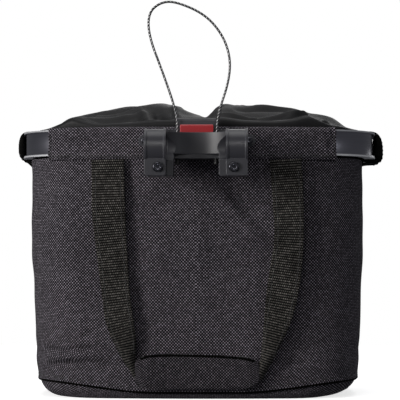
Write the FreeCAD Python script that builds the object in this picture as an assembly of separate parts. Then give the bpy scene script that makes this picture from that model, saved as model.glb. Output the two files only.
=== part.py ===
"""Soft handlebar basket with a quick-release bracket, in millimetres.

The frame: +Z is up, +X is along the handlebar, and -Y faces the rider. The origin is the centre of the
base, on the ground. A bent aluminium rim carries a fabric body, a drawn-in nylon cover and two webbing
handles. A receiver on the rim takes the bracket that stays on the handlebar: two hinged clamp straps,
a red release button, a leaf spring with two catches, and a loop of steel cable.
"""

import FreeCAD, Part
import math
import os

V = FreeCAD.Vector
X_AXIS, Y_AXIS, Z_AXIS = V(1, 0, 0), V(0, 1, 0), V(0, 0, 1)

# ---- rim: an I-section bent into an oval ------------------------------------------------------
RIM_HALF_X, RIM_HALF_Y = 169.0, 126.0
RIM_CORNER_R, RIM_SIDE_R, RIM_LONG_R = 68.0, 450.0, 600.0
RIM_BOTTOM, RIM_TOP = 224.0, 248.0
RIM_DEPTH, RIM_RECESS, RIM_WALL = 10.0, 2.4, 2.0
RIM_GAP = 0.5                       # where the two ends of the extrusion meet, at the front

# ---- fabric ------------------------------------------------------------------------------------
CLOTH = 1.2
EASE = 0.3                          # air between a soft solid and what it wraps
SLEEVE_BOTTOM, SLEEVE_TOP = 220.5, 249.7
SLEEVE_LEFT, SLEEVE_RIGHT = -137.5, 127.5
LOOP_WIDTH, LOOP_THICK = 56.0, 1.8
LOOP_INNER_X, LOOP_OUTER_X = 155.0, 175.0
LOOP_BOTTOM, LOOP_TOP = 220.8, 250.3

BODY_TOP = (158.0, 125.0)           # half sizes under the sleeve
BODY_BOTTOM = (154.5, 119.5)        # half sizes at the base seam
BODY_CORNER_R, BODY_SIDE_R, BODY_LONG_R = 60.0, 450.0, 600.0
BODY_WALL = 3.5
BASE_SEAM = 24.0
BASE_HALF_X, BASE_HALF_Y = 152.5, 117.5
BASE_ROUND, BASE_THICK = 20.0, 3.0
BOARD_THICK, BOARD_INSET = 3.0, 20.5
LINING, LINING_INSET = 0.8, 5.6

COVER_INSET, COVER_CLOTH = 14.5, 1.6
COVER_BOTTOM, COVER_TOP = 236.0, 278.5
COVER_END_X, COVER_REACH = 160.0, 150.0
MOUTH_HALF_X, MOUTH_HALF_Y = 19.0, 12.5
MOUTH_CORNER_R, MOUTH_SIDE_R, MOUTH_LONG_R = 9.0, 26.0, 48.0

HEM_BOTTOM, HEM_TOP, HEM_WIDTH = 255.0, 264.0, 5.6
CHANNEL_BOTTOM, CHANNEL_HEIGHT, CHANNEL_WALL = 258.0, 3.4, 1.2
CORD_BOTTOM, CORD_TOP = 258.6, 260.8
CORD_LEG_IN, CORD_LEG_OUT = 0.4, 2.4
CORD_OUTER, CORD_INNER = 1.8, 4.0   # the cord's two sides, as insets from the mouth's edge
KNOT_R, KNOT_HALF = 1.9, 3.2

LOCK_Y, LOCK_R, LOCK_WALL = -2.0, 4.6, 1.1
LOCK_BOTTOM, LOCK_TOP = 249.5, 263.5
LOCK_HOLE_HALF = 2.7                # half the width of the cord's hole through the lock
PLUNGER_BOTTOM, PLUNGER_TOP, PLUNGER_TRAVEL = 256.0, 266.4, 3.0
LOCK_SPRING_R, LOCK_WIRE_R, LOCK_TURNS = 2.4, 0.35, 4

# ---- handles -----------------------------------------------------------------------------------
STRAP_OUT, STRAP_IN = 96.5, 66.5    # the 30 mm webbing where it is sewn in
STRAP_TOP, STRAP_THICK = 219.8, 2.0
STRAP_FACE_Y = 126.5
GRIP_HALF_X, GRIP_BOTTOM, GRIP_TOP = 55.0, 9.5, 43.0
GRIP_FRONT, GRIP_BACK, GRIP_EDGE_R = 129.8, 122.6, 2.8
CROSSWAY_BOTTOM, CROSSWAY_TOP = 19.0, 38.0      # the webbing where it runs through the grip

# ---- bracket -----------------------------------------------------------------------------------
BAR_R = 12.7                        # 25.4 mm handlebar
BAR_Y, BAR_Z = -168.0, 229.0
STRAP_WALL = 3.3
CLAMP_IN, CLAMP_OUT = 26.9, 46.3
LUG_IN, LUG_BOTTOM, LUG_TOP = 20.5, 203.0, 223.6
HINGE_Y, HINGE_Z = -159.6, 242.5
HINGE_PIN_R, KNUCKLE_R, KNUCKLE_GAP = 1.3, 2.9, 0.4
KNUCKLE_IN, KNUCKLE_OUT = 31.0, 42.2
SCREW_X, SCREW_Z = 34.0, 210.6
SCREW_R, SCREW_HEAD_R, SCREW_HEAD_H = 2.1, 4.25, 4.6
SCREW_TIP = -157.8
SPLIT_STRAP, SPLIT_BLOCK = -174.2, -173.6
FOOT_FRONT, BLOCK_BACK = -180.0, -147.8
NUT_SIDE, NUT_THICK, NUT_FRONT, NUT_BORE_R = 8.0, 2.7, -161.0, 2.75
SLOT_HALF = 2.9                     # half the width of the lug's slot for the screw
STRAP_RIM, STRAP_RIM_WIDTH = 0.7, 2.2

RECEIVER_HALF_X, RECEIVER_BOTTOM, RECEIVER_TOP = 38.0, 219.5, 246.5
RECEIVER_BACK, RECEIVER_PLATE, RECEIVER_FRONT = -128.2, -131.2, -141.0
RAIL_IN, RAIL_LIP_IN, RAIL_LIP_BACK = 30.0, 26.0, -138.2
HOOD_HALF_X, HOOD_TOP = 17.5, 256.5
FIXING_X, FIXING_Z = 47.8, 236.8
FIXING_HEAD_R, FIXING_HEAD_H, FIXING_SHANK_R, FIXING_LENGTH = 3.2, 2.2, 2.0, 15.6
EAR_END_R = 5.6                     # the rounded ends of the receiver's two fixing ears
CATCH_BOTTOM, CATCH_TOP = 227.4, 234.6      # the height of the catches' windows
CATCH_BACK, CATCH_FRONT = -132.0, -137.6    # their depth, and that of the spring's room
RIVET_R, RIVET_HOLE_R = 1.6, 1.7

TONGUE_HALF_X, TONGUE_TOP, NECK_HALF_X = 29.7, 243.0, 25.5
NECK_BOTTOM, NECK_TOP = 219.5, 243.2
WELL_HALF_X, WELL_FRONT, WELL_BACK, WELL_BOTTOM = 15.3, -146.9, -140.7, 232.0
SPRING_ROOM_TOP = 238.4
BUTTON_HALF_X = 15.0
BUTTON_TOP, BUTTON_BOTTOM = 250.6, 237.2
CABLE_R, CABLE_X, CABLE_Y = 1.1, 17.4, -143.5
CABLE_HOLE_R, CABLE_END = 1.6, 221.0
FERRULE_R, FERRULE_LENGTH = 2.2, 7.0
ARC_SHARE = 0.45                    # how much of the shorter run each of the cable's bends takes
CABLE_ROUTE = [
    (-17.4, -143.5, 221.0),
    (-17.4, -143.5, 240.5),
    (-18.4, -143.9, 262.0),
    (-30.5, -145.0, 297.0),
    (-43.7, -146.5, 331.5),
    (-43.8, -147.5, 352.5),
    (-31.5, -147.8, 362.2),
    (-17.0, -147.8, 361.6),
    (8.5, -147.0, 350.0),
    (24.5, -146.0, 330.5),
    (31.0, -145.0, 309.0),
    (28.6, -144.3, 287.5),
    (19.8, -143.9, 262.0),
    (17.4, -143.5, 240.5),
    (17.4, -143.5, 221.0),
]


# ---- helpers -----------------------------------------------------------------------------------
def box(x0, x1, y0, y1, z0, z1):
    """A block between two corners, whatever their order."""
    lo = V(min(x0, x1), min(y0, y1), min(z0, z1))
    return Part.makeBox(abs(x1 - x0), abs(y1 - y0), abs(z1 - z0), lo)


def rod(r, start, direction, length):
    return Part.makeCylinder(r, length, start, direction)


def fuse(shapes):
    whole = shapes[0]
    for s in shapes[1:]:
        whole = whole.fuse(s)
    return whole.removeSplitter()


def mirrored_x(shape):
    return shape.mirror(V(0, 0, 0), X_AXIS)


def mirrored_y(shape):
    return shape.mirror(V(0, 0, 0), Y_AXIS)


def edges_along(shape, axis):
    """The straight edges that run along an axis."""
    found = []
    for e in shape.Edges:
        if isinstance(e.Curve, (Part.Line, Part.LineSegment)):
            if abs(e.tangentAt(e.FirstParameter).dot(axis)) > 0.999:
                found.append(e)
    return found


def wire_of(points):
    """A closed wire: a point is a corner, and a pair (via, end) is an arc from the last point."""
    edges = []
    here = points[0]
    for step in points[1:] + [points[0]]:
        if isinstance(step, tuple):
            via, end = step
            edges.append(Part.Arc(here, via, end).toShape())
            here = end
        else:
            edges.append(Part.makeLine(here, step))
            here = step
    return Part.Wire(edges)


def oval(half_x, half_y, corner_r, side_r, long_r, z, inset=0.0):
    """A closed oval of eight tangent arcs. Its inset copies share its centres, so they are true offsets."""
    long_c = V(0, half_y - long_r, 0)
    side_c = V(half_x - side_r, 0, 0)
    a, b = long_r - corner_r, side_r - corner_r
    gap = side_c - long_c
    d = gap.Length
    along = (a * a - b * b + d * d) / (2 * d)
    up = math.sqrt(a * a - along * along)
    n = V(gap).normalize()
    corner = long_c + n * along + V(-n.y, n.x, 0) * up
    if corner.x < 0:
        corner = long_c + n * along - V(-n.y, n.x, 0) * up
    on_long = long_c + (corner - long_c).normalize() * (long_r - inset)
    on_side = side_c + (corner - side_c).normalize() * (side_r - inset)
    middle = (on_long - corner).normalize() + (on_side - corner).normalize()
    on_corner = corner + middle.normalize() * (corner_r - inset)
    hx, hy = half_x - inset, half_y - inset

    def at(p, sx, sy):
        return V(p.x * sx, p.y * sy, z)

    arcs = [
        (at(on_side, 1, -1), V(hx, 0, z), at(on_side, 1, 1)),
        (at(on_side, 1, 1), at(on_corner, 1, 1), at(on_long, 1, 1)),
        (at(on_long, 1, 1), V(0, hy, z), at(on_long, -1, 1)),
        (at(on_long, -1, 1), at(on_corner, -1, 1), at(on_side, -1, 1)),
        (at(on_side, -1, 1), V(-hx, 0, z), at(on_side, -1, -1)),
        (at(on_side, -1, -1), at(on_corner, -1, -1), at(on_long, -1, -1)),
        (at(on_long, -1, -1), V(0, -hy, z), at(on_long, 1, -1)),
        (at(on_long, 1, -1), at(on_corner, 1, -1), at(on_side, 1, -1)),
    ]
    return Part.Wire([Part.Arc(*arc).toShape() for arc in arcs])


def rim_oval(z, inset=0.0):
    return oval(RIM_HALF_X, RIM_HALF_Y, RIM_CORNER_R, RIM_SIDE_R, RIM_LONG_R, z, inset)


def body_oval(half, z, inset=0.0):
    return oval(half[0], half[1], BODY_CORNER_R, BODY_SIDE_R, BODY_LONG_R, z, inset)


def prism(wire, height):
    return Part.Face(wire).extrude(V(0, 0, height))


def rim_band(outer, inner, z0, z1):
    """A ring that follows the rim, between two insets from its outer face."""
    return prism(rim_oval(z0, outer), z1 - z0).cut(prism(rim_oval(z0, inner), z1 - z0))


def half_sizes_at(z):
    """The body's half sizes at a height, on the straight taper between its top and its base seam."""
    t = (z - BASE_SEAM) / (SLEEVE_BOTTOM - BASE_SEAM)
    return tuple(b + t * (a - b) for a, b in zip(BODY_TOP, BODY_BOTTOM))


def body_loft(z0, z1, inset):
    return Part.makeLoft(
        [body_oval(half_sizes_at(z0), z0, inset), body_oval(half_sizes_at(z1), z1, inset)], True, True
    )


# ---- rim and what joins it ---------------------------------------------------------------------
def rim_frame():
    flange_bottom = rim_band(0, RIM_DEPTH, RIM_BOTTOM, RIM_BOTTOM + RIM_WALL)
    flange_top = rim_band(0, RIM_DEPTH, RIM_TOP - RIM_WALL, RIM_TOP)
    web = rim_band(RIM_RECESS, RIM_RECESS + RIM_WALL, RIM_BOTTOM, RIM_TOP)
    rim = fuse([flange_bottom, web, flange_top])
    rim = rim.cut(box(-RIM_GAP / 2, RIM_GAP / 2, 90, 140, RIM_BOTTOM, RIM_TOP))
    for x in (-FIXING_X, FIXING_X):
        rim = rim.cut(rod(2.3, V(x, -140, FIXING_Z), Y_AXIS, 40))
    for x in rivet_places():
        rim = rim.cut(rod(RIVET_HOLE_R, V(x, 100, FIXING_Z), Y_AXIS, 40))
    return rim


def rivet_places():
    return [-22.0, -10.0, 10.0, 22.0]


def bow(half_y, long_r, x):
    """How far a long side of an oval falls back at a distance from its middle."""
    return half_y - long_r + math.sqrt(long_r**2 - x * x)


def channel_bar(half_x, thick):
    """A flat bar that fills the rim's inner channel, following its bow, at the front."""
    inset = RIM_RECESS + RIM_WALL
    band = rim_band(inset, inset + thick, RIM_BOTTOM + 3, RIM_TOP - 3)
    return band.common(box(-half_x, half_x, 90, 140, RIM_BOTTOM, RIM_TOP))


def rim_joiner():
    bar = channel_bar(32.0, 3.0)
    for x in rivet_places():
        bar = bar.cut(rod(RIVET_HOLE_R, V(x, 100, FIXING_Z), Y_AXIS, 40))
    return bar


def rim_rivets():
    """Four blind rivets through the rim's web and the joiner, with a low head each side."""
    rivets = []
    for x in rivet_places():
        web_y = bow(RIM_HALF_Y, RIM_LONG_R, x) - RIM_RECESS
        shank = rod(RIVET_R, V(x, web_y - RIM_WALL - 3.2, FIXING_Z), Y_AXIS, RIM_WALL + 3.6)
        outer = rod(3.0, V(x, web_y + 0.2, FIXING_Z), Y_AXIS, 0.9)
        inner = rod(2.6, V(x, web_y - RIM_WALL - 4.3, FIXING_Z), Y_AXIS, 1.2)
        rivets.append(fuse([shank, outer, inner]))
    return Part.makeCompound(rivets)


def receiver_backing_bar():
    """A steel bar in the rim's inner channel that the receiver's screws thread into."""
    bar = mirrored_y(channel_bar(FIXING_X + 8.0, 3.0))
    for x in (-FIXING_X, FIXING_X):
        bar = bar.cut(rod(2.05, V(x, -140, FIXING_Z), Y_AXIS, 40))
    return bar


# ---- fabric ------------------------------------------------------------------------------------
def sleeve(side):
    """The casing that wraps the rim on one long side: side is -1 for the rider's side, 1 for the front."""
    out, inner = -(EASE + CLOTH), RIM_DEPTH + EASE + CLOTH
    tube = rim_band(out, inner, SLEEVE_BOTTOM, SLEEVE_TOP)
    tube = tube.cut(rim_band(-EASE, RIM_DEPTH + EASE, SLEEVE_BOTTOM + CLOTH, SLEEVE_TOP - CLOTH))
    y0, y1 = (-140, -50) if side < 0 else (50, 140)
    cloth = tube.common(box(SLEEVE_LEFT, SLEEVE_RIGHT, y0, y1, SLEEVE_BOTTOM, SLEEVE_TOP))
    if side < 0:
        for x in (-FIXING_X, FIXING_X):
            cloth = cloth.cut(rod(4.4, V(x, -135, FIXING_Z), Y_AXIS, 12))
    return cloth


def end_loop():
    """The webbing loop round the rim's right-hand end."""
    outer = box(LOOP_INNER_X, LOOP_OUTER_X, -LOOP_WIDTH / 2, LOOP_WIDTH / 2, LOOP_BOTTOM, LOOP_TOP)
    outer = outer.makeFillet(4.0, edges_along(outer, Y_AXIS))
    t = LOOP_THICK
    hole = box(LOOP_INNER_X + t, LOOP_OUTER_X - t, -LOOP_WIDTH, LOOP_WIDTH, LOOP_BOTTOM + t, LOOP_TOP - t)
    hole = hole.makeFillet(2.2, edges_along(hole, Y_AXIS))
    return outer.cut(hole)


def body_shell():
    """The fabric and foam wall, open at the top and at the base seam."""
    return body_loft(BASE_SEAM, SLEEVE_BOTTOM, 0).cut(body_loft(BASE_SEAM, SLEEVE_BOTTOM, BODY_WALL))


def base_block(inset, z0, z1, rounding):
    """The base's rounded pan as a full block, set in from its outer face."""
    half = (BASE_HALF_X, BASE_HALF_Y)
    block = prism(body_oval(half, z0, inset), z1 - z0)
    low = [e for e in block.Edges if abs(e.BoundBox.ZMax - z0) < 1e-6]
    return block.makeFillet(rounding, low)


def base_panel():
    pan = base_block(0, 0, BASE_SEAM, BASE_ROUND)
    return pan.cut(base_block(BASE_THICK, BASE_THICK, BASE_SEAM + 1, BASE_ROUND - BASE_THICK))


def base_board():
    half = (BASE_HALF_X, BASE_HALF_Y)
    return prism(body_oval(half, BASE_THICK, BOARD_INSET), BOARD_THICK)


def inner_lining():
    """A thin pocket of lining that hangs inside the wall and lies on the base board."""
    floor = BASE_THICK + BOARD_THICK + EASE
    top = SLEEVE_BOTTOM - 0.5
    wall = body_loft(BASE_SEAM, top, LINING_INSET).cut(body_loft(BASE_SEAM, top, LINING_INSET + LINING))
    foot_inset = BOARD_INSET - 1.0

    def foot(thick):
        low = body_oval(BODY_BOTTOM, floor + thick, foot_inset + thick)
        return Part.makeLoft([low, body_oval(BODY_BOTTOM, BASE_SEAM, LINING_INSET + thick)], True, True)

    return fuse([wall, foot(0).cut(foot(LINING))])


# ---- cover -------------------------------------------------------------------------------------
def cover_front_profile():
    """The drawn-in cover seen from the rider: two lobes with a valley between them, over the mouth."""
    end, top = COVER_END_X, COVER_TOP

    def at(x, z):
        return V(x, -COVER_REACH, z)

    return wire_of([
        at(-end, COVER_BOTTOM),
        at(-end, 249.5),
        (at(-112, 267.5), at(-58, top)),
        at(-22, top),
        (at(-6, 269.8), at(4, 265.2)),
        (at(13, 269.2), at(23, top)),
        at(55, top),
        (at(112, 268.0), at(end, 251.5)),
        at(end, COVER_BOTTOM),
    ])


def cover_side_profile():
    """The same cover seen from its end: low along the rim, flat over the middle."""
    edge, lip, shoulder, top = 112.0, 252.0, 48.0, COVER_TOP + 1.5

    def at(y, z):
        return V(-RIM_HALF_X - 1, y, z)

    return wire_of([
        at(-edge, COVER_BOTTOM),
        at(-edge, lip),
        (at(-90, 267.0), at(-shoulder, top)),
        at(shoulder, top),
        (at(90, 267.0), at(edge, lip)),
        at(edge, COVER_BOTTOM),
    ])


def cover_block(inset, drop):
    """The pillow that the drawn-in cover fills, kept inside the rim and lowered by its cloth's thickness."""
    front = Part.Face(cover_front_profile()).extrude(V(0, 2 * COVER_REACH, 0))
    side = Part.Face(cover_side_profile()).extrude(V(2 * RIM_HALF_X + 2, 0, 0))
    block = front.common(side)
    block.translate(V(0, 0, -drop))
    return block.common(prism(rim_oval(COVER_BOTTOM - 5, inset), 60))


def mouth_oval(z, inset):
    return oval(MOUTH_HALF_X, MOUTH_HALF_Y, MOUTH_CORNER_R, MOUTH_SIDE_R, MOUTH_LONG_R, z, inset)


def drawstring_cover():
    cover = cover_block(COVER_INSET, 0).cut(cover_block(COVER_INSET + CLOTH, COVER_CLOTH))
    return cover.cut(prism(mouth_oval(225, -EASE), 70)).cut(box(-200, 200, -200, 200, 200, COVER_BOTTOM))


def cover_hem():
    """The casing round the cover's mouth, with a channel for the drawstring."""
    tall = HEM_TOP - HEM_BOTTOM
    hem = prism(mouth_oval(HEM_BOTTOM, 0), tall).cut(prism(mouth_oval(HEM_BOTTOM, HEM_WIDTH), tall))
    outside = prism(mouth_oval(CHANNEL_BOTTOM, CHANNEL_WALL), CHANNEL_HEIGHT)
    inside = prism(mouth_oval(CHANNEL_BOTTOM, HEM_WIDTH - 1.0), CHANNEL_HEIGHT)
    exit_half = CORD_LEG_OUT + 1.0
    exits = box(-exit_half, exit_half, -10.0, -6.0, CORD_BOTTOM - 0.4, CORD_TOP + 0.4)
    return hem.cut(outside.cut(inside)).cut(exits)


def drawstring():
    """The cord in the hem's channel. Its two ends run through the cord lock to a knot."""
    height = CORD_TOP - CORD_BOTTOM
    ring = prism(mouth_oval(CORD_BOTTOM, CORD_OUTER), height)
    ring = ring.cut(prism(mouth_oval(CORD_BOTTOM, CORD_INNER), height))
    ring = ring.cut(box(-CORD_LEG_IN, CORD_LEG_IN, -14, -6, CORD_BOTTOM, CORD_TOP))
    knot_y = LOCK_Y + LOCK_R + KNOT_R + 0.1
    leg_start = -(MOUTH_HALF_Y - CORD_OUTER - 0.5)
    parts = [ring]
    for s in (-1, 1):
        parts.append(box(s * CORD_LEG_IN, s * CORD_LEG_OUT, leg_start, knot_y, CORD_BOTTOM, CORD_TOP))
    middle = (CORD_BOTTOM + CORD_TOP) / 2
    knot = rod(KNOT_R, V(-KNOT_HALF, knot_y, middle), X_AXIS, 2 * KNOT_HALF)
    return fuse(parts + [knot])


def cord_lock_barrel():
    """An open-topped barrel with a cross hole for the cord."""
    centre = V(0, LOCK_Y, LOCK_BOTTOM)
    height = LOCK_TOP - LOCK_BOTTOM
    barrel = rod(LOCK_R, centre, Z_AXIS, height)
    barrel = barrel.cut(rod(LOCK_R - LOCK_WALL, centre + V(0, 0, LOCK_WALL), Z_AXIS, height))
    hole = box(-LOCK_HOLE_HALF, LOCK_HOLE_HALF, -10, 10, CORD_BOTTOM - EASE, CORD_TOP + EASE)
    return barrel.cut(hole)


def cord_lock_plunger():
    """The plunger, with a slot long enough for the cord to stay still as it is pressed."""
    r = LOCK_R - LOCK_WALL - 0.2
    stem = rod(r, V(0, LOCK_Y, PLUNGER_BOTTOM), Z_AXIS, PLUNGER_TOP - PLUNGER_BOTTOM)
    slot_top = CORD_TOP + PLUNGER_TRAVEL + EASE
    stem = stem.cut(box(-LOCK_HOLE_HALF, LOCK_HOLE_HALF, -10, 10, CORD_BOTTOM - EASE, slot_top))
    top = [e for e in stem.Edges if e.BoundBox.ZMin > PLUNGER_TOP - 0.01]
    return stem.makeFillet(0.8, top)


def coil_spring(radius, wire_r, bottom, top, turns, centre):
    """A helical spring, its wire swept along a helix about Z."""
    rise = top - bottom - 2 * wire_r
    helix = Part.makeHelix(rise / turns, rise, radius)
    helix.translate(centre + V(0, 0, bottom + wire_r))
    turn = helix.Edges[0]
    start, along = turn.valueAt(turn.FirstParameter), turn.tangentAt(turn.FirstParameter)
    section = Part.Wire([Part.makeCircle(wire_r, start, along)])
    return Part.Wire(helix.Edges).makePipeShell([section], True, True)


def cord_lock_spring():
    bottom, top = LOCK_BOTTOM + LOCK_WALL + 0.1, PLUNGER_BOTTOM - 0.1
    return coil_spring(LOCK_SPRING_R, LOCK_WIRE_R, bottom, top, LOCK_TURNS, V(0, LOCK_Y, 0))


# ---- handles -----------------------------------------------------------------------------------
def handle_strap():
    """The rider's webbing handle: two legs that draw in and run through the grip."""
    y = -STRAP_FACE_Y
    low, high = CROSSWAY_BOTTOM, CROSSWAY_TOP
    wire = wire_of(
        [
            V(-STRAP_OUT, y, STRAP_TOP),
            (V(-91.0, y, 110), V(-63, y, low)),
            V(63, y, low),
            (V(91.0, y, 110), V(STRAP_OUT, y, STRAP_TOP)),
            V(STRAP_IN, y, STRAP_TOP),
            (V(63.0, y, 128), V(56, y, high)),
            V(-56, y, high),
            (V(-63.0, y, 128), V(-STRAP_IN, y, STRAP_TOP)),
        ]
    )
    return Part.Face(wire).extrude(V(0, STRAP_THICK, 0))


def handle_grip():
    """The padded wrap round the middle of the webbing."""
    grip = box(-GRIP_HALF_X, GRIP_HALF_X, -GRIP_FRONT, -GRIP_BACK, GRIP_BOTTOM, GRIP_TOP)
    grip = grip.makeFillet(GRIP_EDGE_R, edges_along(grip, X_AXIS))
    y0, y1 = -STRAP_FACE_Y - EASE, -STRAP_FACE_Y + STRAP_THICK + EASE
    slot = box(-GRIP_HALF_X - 5, GRIP_HALF_X + 5, y0, y1, CROSSWAY_BOTTOM - EASE, CROSSWAY_TOP + EASE)
    return grip.cut(slot)


# ---- receiver on the basket --------------------------------------------------------------------
def fixing_ears(y0, y1):
    """The two rounded ears that the receiver's screws pass through."""
    bar = box(-FIXING_X, FIXING_X, y0, y1, FIXING_Z - EAR_END_R, FIXING_Z + EAR_END_R)
    ends = [rod(EAR_END_R, V(s * FIXING_X, y0, FIXING_Z), Y_AXIS, y1 - y0) for s in (-1, 1)]
    return fuse([bar] + ends)


def receiver_bracket():
    """The basket's half of the quick release: two undercut rails, a stop across the top and a hood."""
    z0, z1 = RECEIVER_BOTTOM, RECEIVER_TOP
    plate = box(-RECEIVER_HALF_X, RECEIVER_HALF_X, RECEIVER_BACK, RECEIVER_PLATE, z0, z1)
    parts = [plate, fixing_ears(RECEIVER_PLATE, RECEIVER_BACK)]
    web_y = -(bow(RIM_HALF_Y, RIM_LONG_R, FIXING_X) - RIM_RECESS)
    for s in (-1, 1):
        parts.append(box(s * RAIL_IN, s * RECEIVER_HALF_X, RECEIVER_PLATE, RECEIVER_FRONT, z0, z1))
        parts.append(box(s * RAIL_LIP_IN, s * RAIL_IN, RAIL_LIP_BACK, RECEIVER_FRONT, z0, z1))
        spacer = rod(4.0, V(s * FIXING_X, RECEIVER_BACK, FIXING_Z), Y_AXIS, web_y - RECEIVER_BACK - 0.6)
        parts.append(spacer)
    parts.append(box(-RAIL_IN, RAIL_IN, RECEIVER_PLATE, -138.0, z1 - 3.0, z1))
    hood = box(-HOOD_HALF_X, HOOD_HALF_X, RECEIVER_BACK, -140.2, z1 - 3.0, HOOD_TOP)
    hood = hood.makeFillet(2.0, [e for e in edges_along(hood, X_AXIS) if e.BoundBox.ZMin > 250])
    parts.append(hood)
    body = fuse(parts)
    low = [e for e in edges_along(body, Y_AXIS) if e.BoundBox.ZMax < z0 + 1 and abs(e.BoundBox.XMin) > 37]
    body = body.makeFillet(3.0, low)
    for s in (-1, 1):
        body = body.cut(rod(FIXING_SHANK_R + 0.2, V(s * FIXING_X, RECEIVER_PLATE - 1, FIXING_Z), Y_AXIS, 12))
        body = body.cut(box(s * 29, s * 34.5, CATCH_FRONT, CATCH_BACK, CATCH_BOTTOM, CATCH_TOP))
    return body


def receiver_screws():
    """Two button-head screws through the receiver's ears and the rim into the backing bar."""
    screws = []
    for s in (-1, 1):
        head_y = RECEIVER_PLATE - FIXING_HEAD_H
        head = rod(FIXING_HEAD_R, V(s * FIXING_X, head_y, FIXING_Z), Y_AXIS, FIXING_HEAD_H)
        front = [e for e in head.Edges if e.BoundBox.YMax < head_y + 0.1]
        head = head.makeFillet(0.9, front)
        shank = rod(FIXING_SHANK_R, V(s * FIXING_X, RECEIVER_PLATE, FIXING_Z), Y_AXIS, FIXING_LENGTH)
        socket = rod(1.3, V(s * FIXING_X, head_y - 0.1, FIXING_Z), Y_AXIS, 1.6)
        screws.append(fuse([head, shank]).cut(socket))
    return Part.makeCompound(screws)


# ---- bracket on the handlebar ------------------------------------------------------------------
def bar_room(half_length):
    """The space that the handlebar takes, about the bracket's middle."""
    return rod(BAR_R, V(-half_length, BAR_Y, BAR_Z), X_AXIS, 2 * half_length)


def clamp_block():
    """The fixed half of the right-hand clamp: a saddle behind the bar, hinge ears and a screw lug."""
    back, out = BLOCK_BACK, CLAMP_OUT - 0.3
    saddle = box(CLAMP_IN, out, back, SPLIT_BLOCK, LUG_BOTTOM + 4, BAR_Z - 4)
    wall = box(CLAMP_IN, out, back, HINGE_Y + 3, LUG_BOTTOM + 4, HINGE_Z - KNUCKLE_R)
    lug = box(LUG_IN, CLAMP_OUT - 0.8, back, SPLIT_BLOCK, LUG_BOTTOM, LUG_TOP)
    lug = lug.makeFillet(1.5, edges_along(lug, Y_AXIS))
    heel = box(LUG_IN, out, back, -153.0, LUG_BOTTOM + 3, NECK_TOP - 2)
    ear = rod(KNUCKLE_R, V(CLAMP_IN, HINGE_Y, HINGE_Z), X_AXIS, out - CLAMP_IN)
    ear_foot = box(CLAMP_IN, out, back, HINGE_Y, HINGE_Z - 6, HINGE_Z - 0.5)
    block = fuse([saddle, wall, lug, heel, ear, ear_foot])
    gap = KNUCKLE_GAP
    x0, x1 = KNUCKLE_IN - gap, KNUCKLE_OUT + gap
    room = rod(KNUCKLE_R + gap, V(x0, HINGE_Y, HINGE_Z), X_AXIS, x1 - x0)
    over = box(x0, x1, HINGE_Y - 4, HINGE_Y + 2.2, HINGE_Z - 6, HINGE_Z + 4)
    block = block.cut(room).cut(over)
    block = block.cut(rod(HINGE_PIN_R + 0.02, V(20, HINGE_Y, HINGE_Z), X_AXIS, 40))
    return block.cut(screw_room())


def screw_room():
    """The lug's slot, tall enough for the screw to swing out with the strap, and its nut pocket."""
    x0, x1 = SCREW_X - SLOT_HALF, SCREW_X + SLOT_HALF
    nut_back = NUT_FRONT + NUT_THICK
    slot = box(x0, x1, FOOT_FRONT, nut_back + 1.6, SCREW_Z - 3.2, SCREW_Z + 3.2)
    rise = box(x0, x1, FOOT_FRONT, NUT_FRONT - 1.2, SCREW_Z, SCREW_Z + 10)
    half = NUT_SIDE / 2 + 0.1
    pocket = box(SCREW_X - half, SCREW_X + half, NUT_FRONT, nut_back, LUG_BOTTOM - 1, SCREW_Z + half)
    return fuse([slot, rise, pocket])


def clamp_nut():
    """A square nut in the lug's pocket, its bore a little over size so that the screw can swing out."""
    half = NUT_SIDE / 2
    y0, y1 = NUT_FRONT + 0.1, NUT_FRONT + NUT_THICK - 0.1
    nut = box(SCREW_X - half, SCREW_X + half, y0, y1, SCREW_Z - half, SCREW_Z + half)
    return nut.cut(rod(NUT_BORE_R, V(SCREW_X, y0 - 5, SCREW_Z), Y_AXIS, 20))


def around_bar(radius, x0, x1):
    """A disc about the bar, over the top and down the front as far as the split."""
    disc = rod(radius, V(x0, BAR_Y, BAR_Z), X_AXIS, x1 - x0)
    over = box(x0, x1, -200, HINGE_Y, BAR_Z, 260)
    down = box(x0, x1, -200, SPLIT_STRAP, 200, BAR_Z)
    return disc.common(over.fuse(down))


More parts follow.
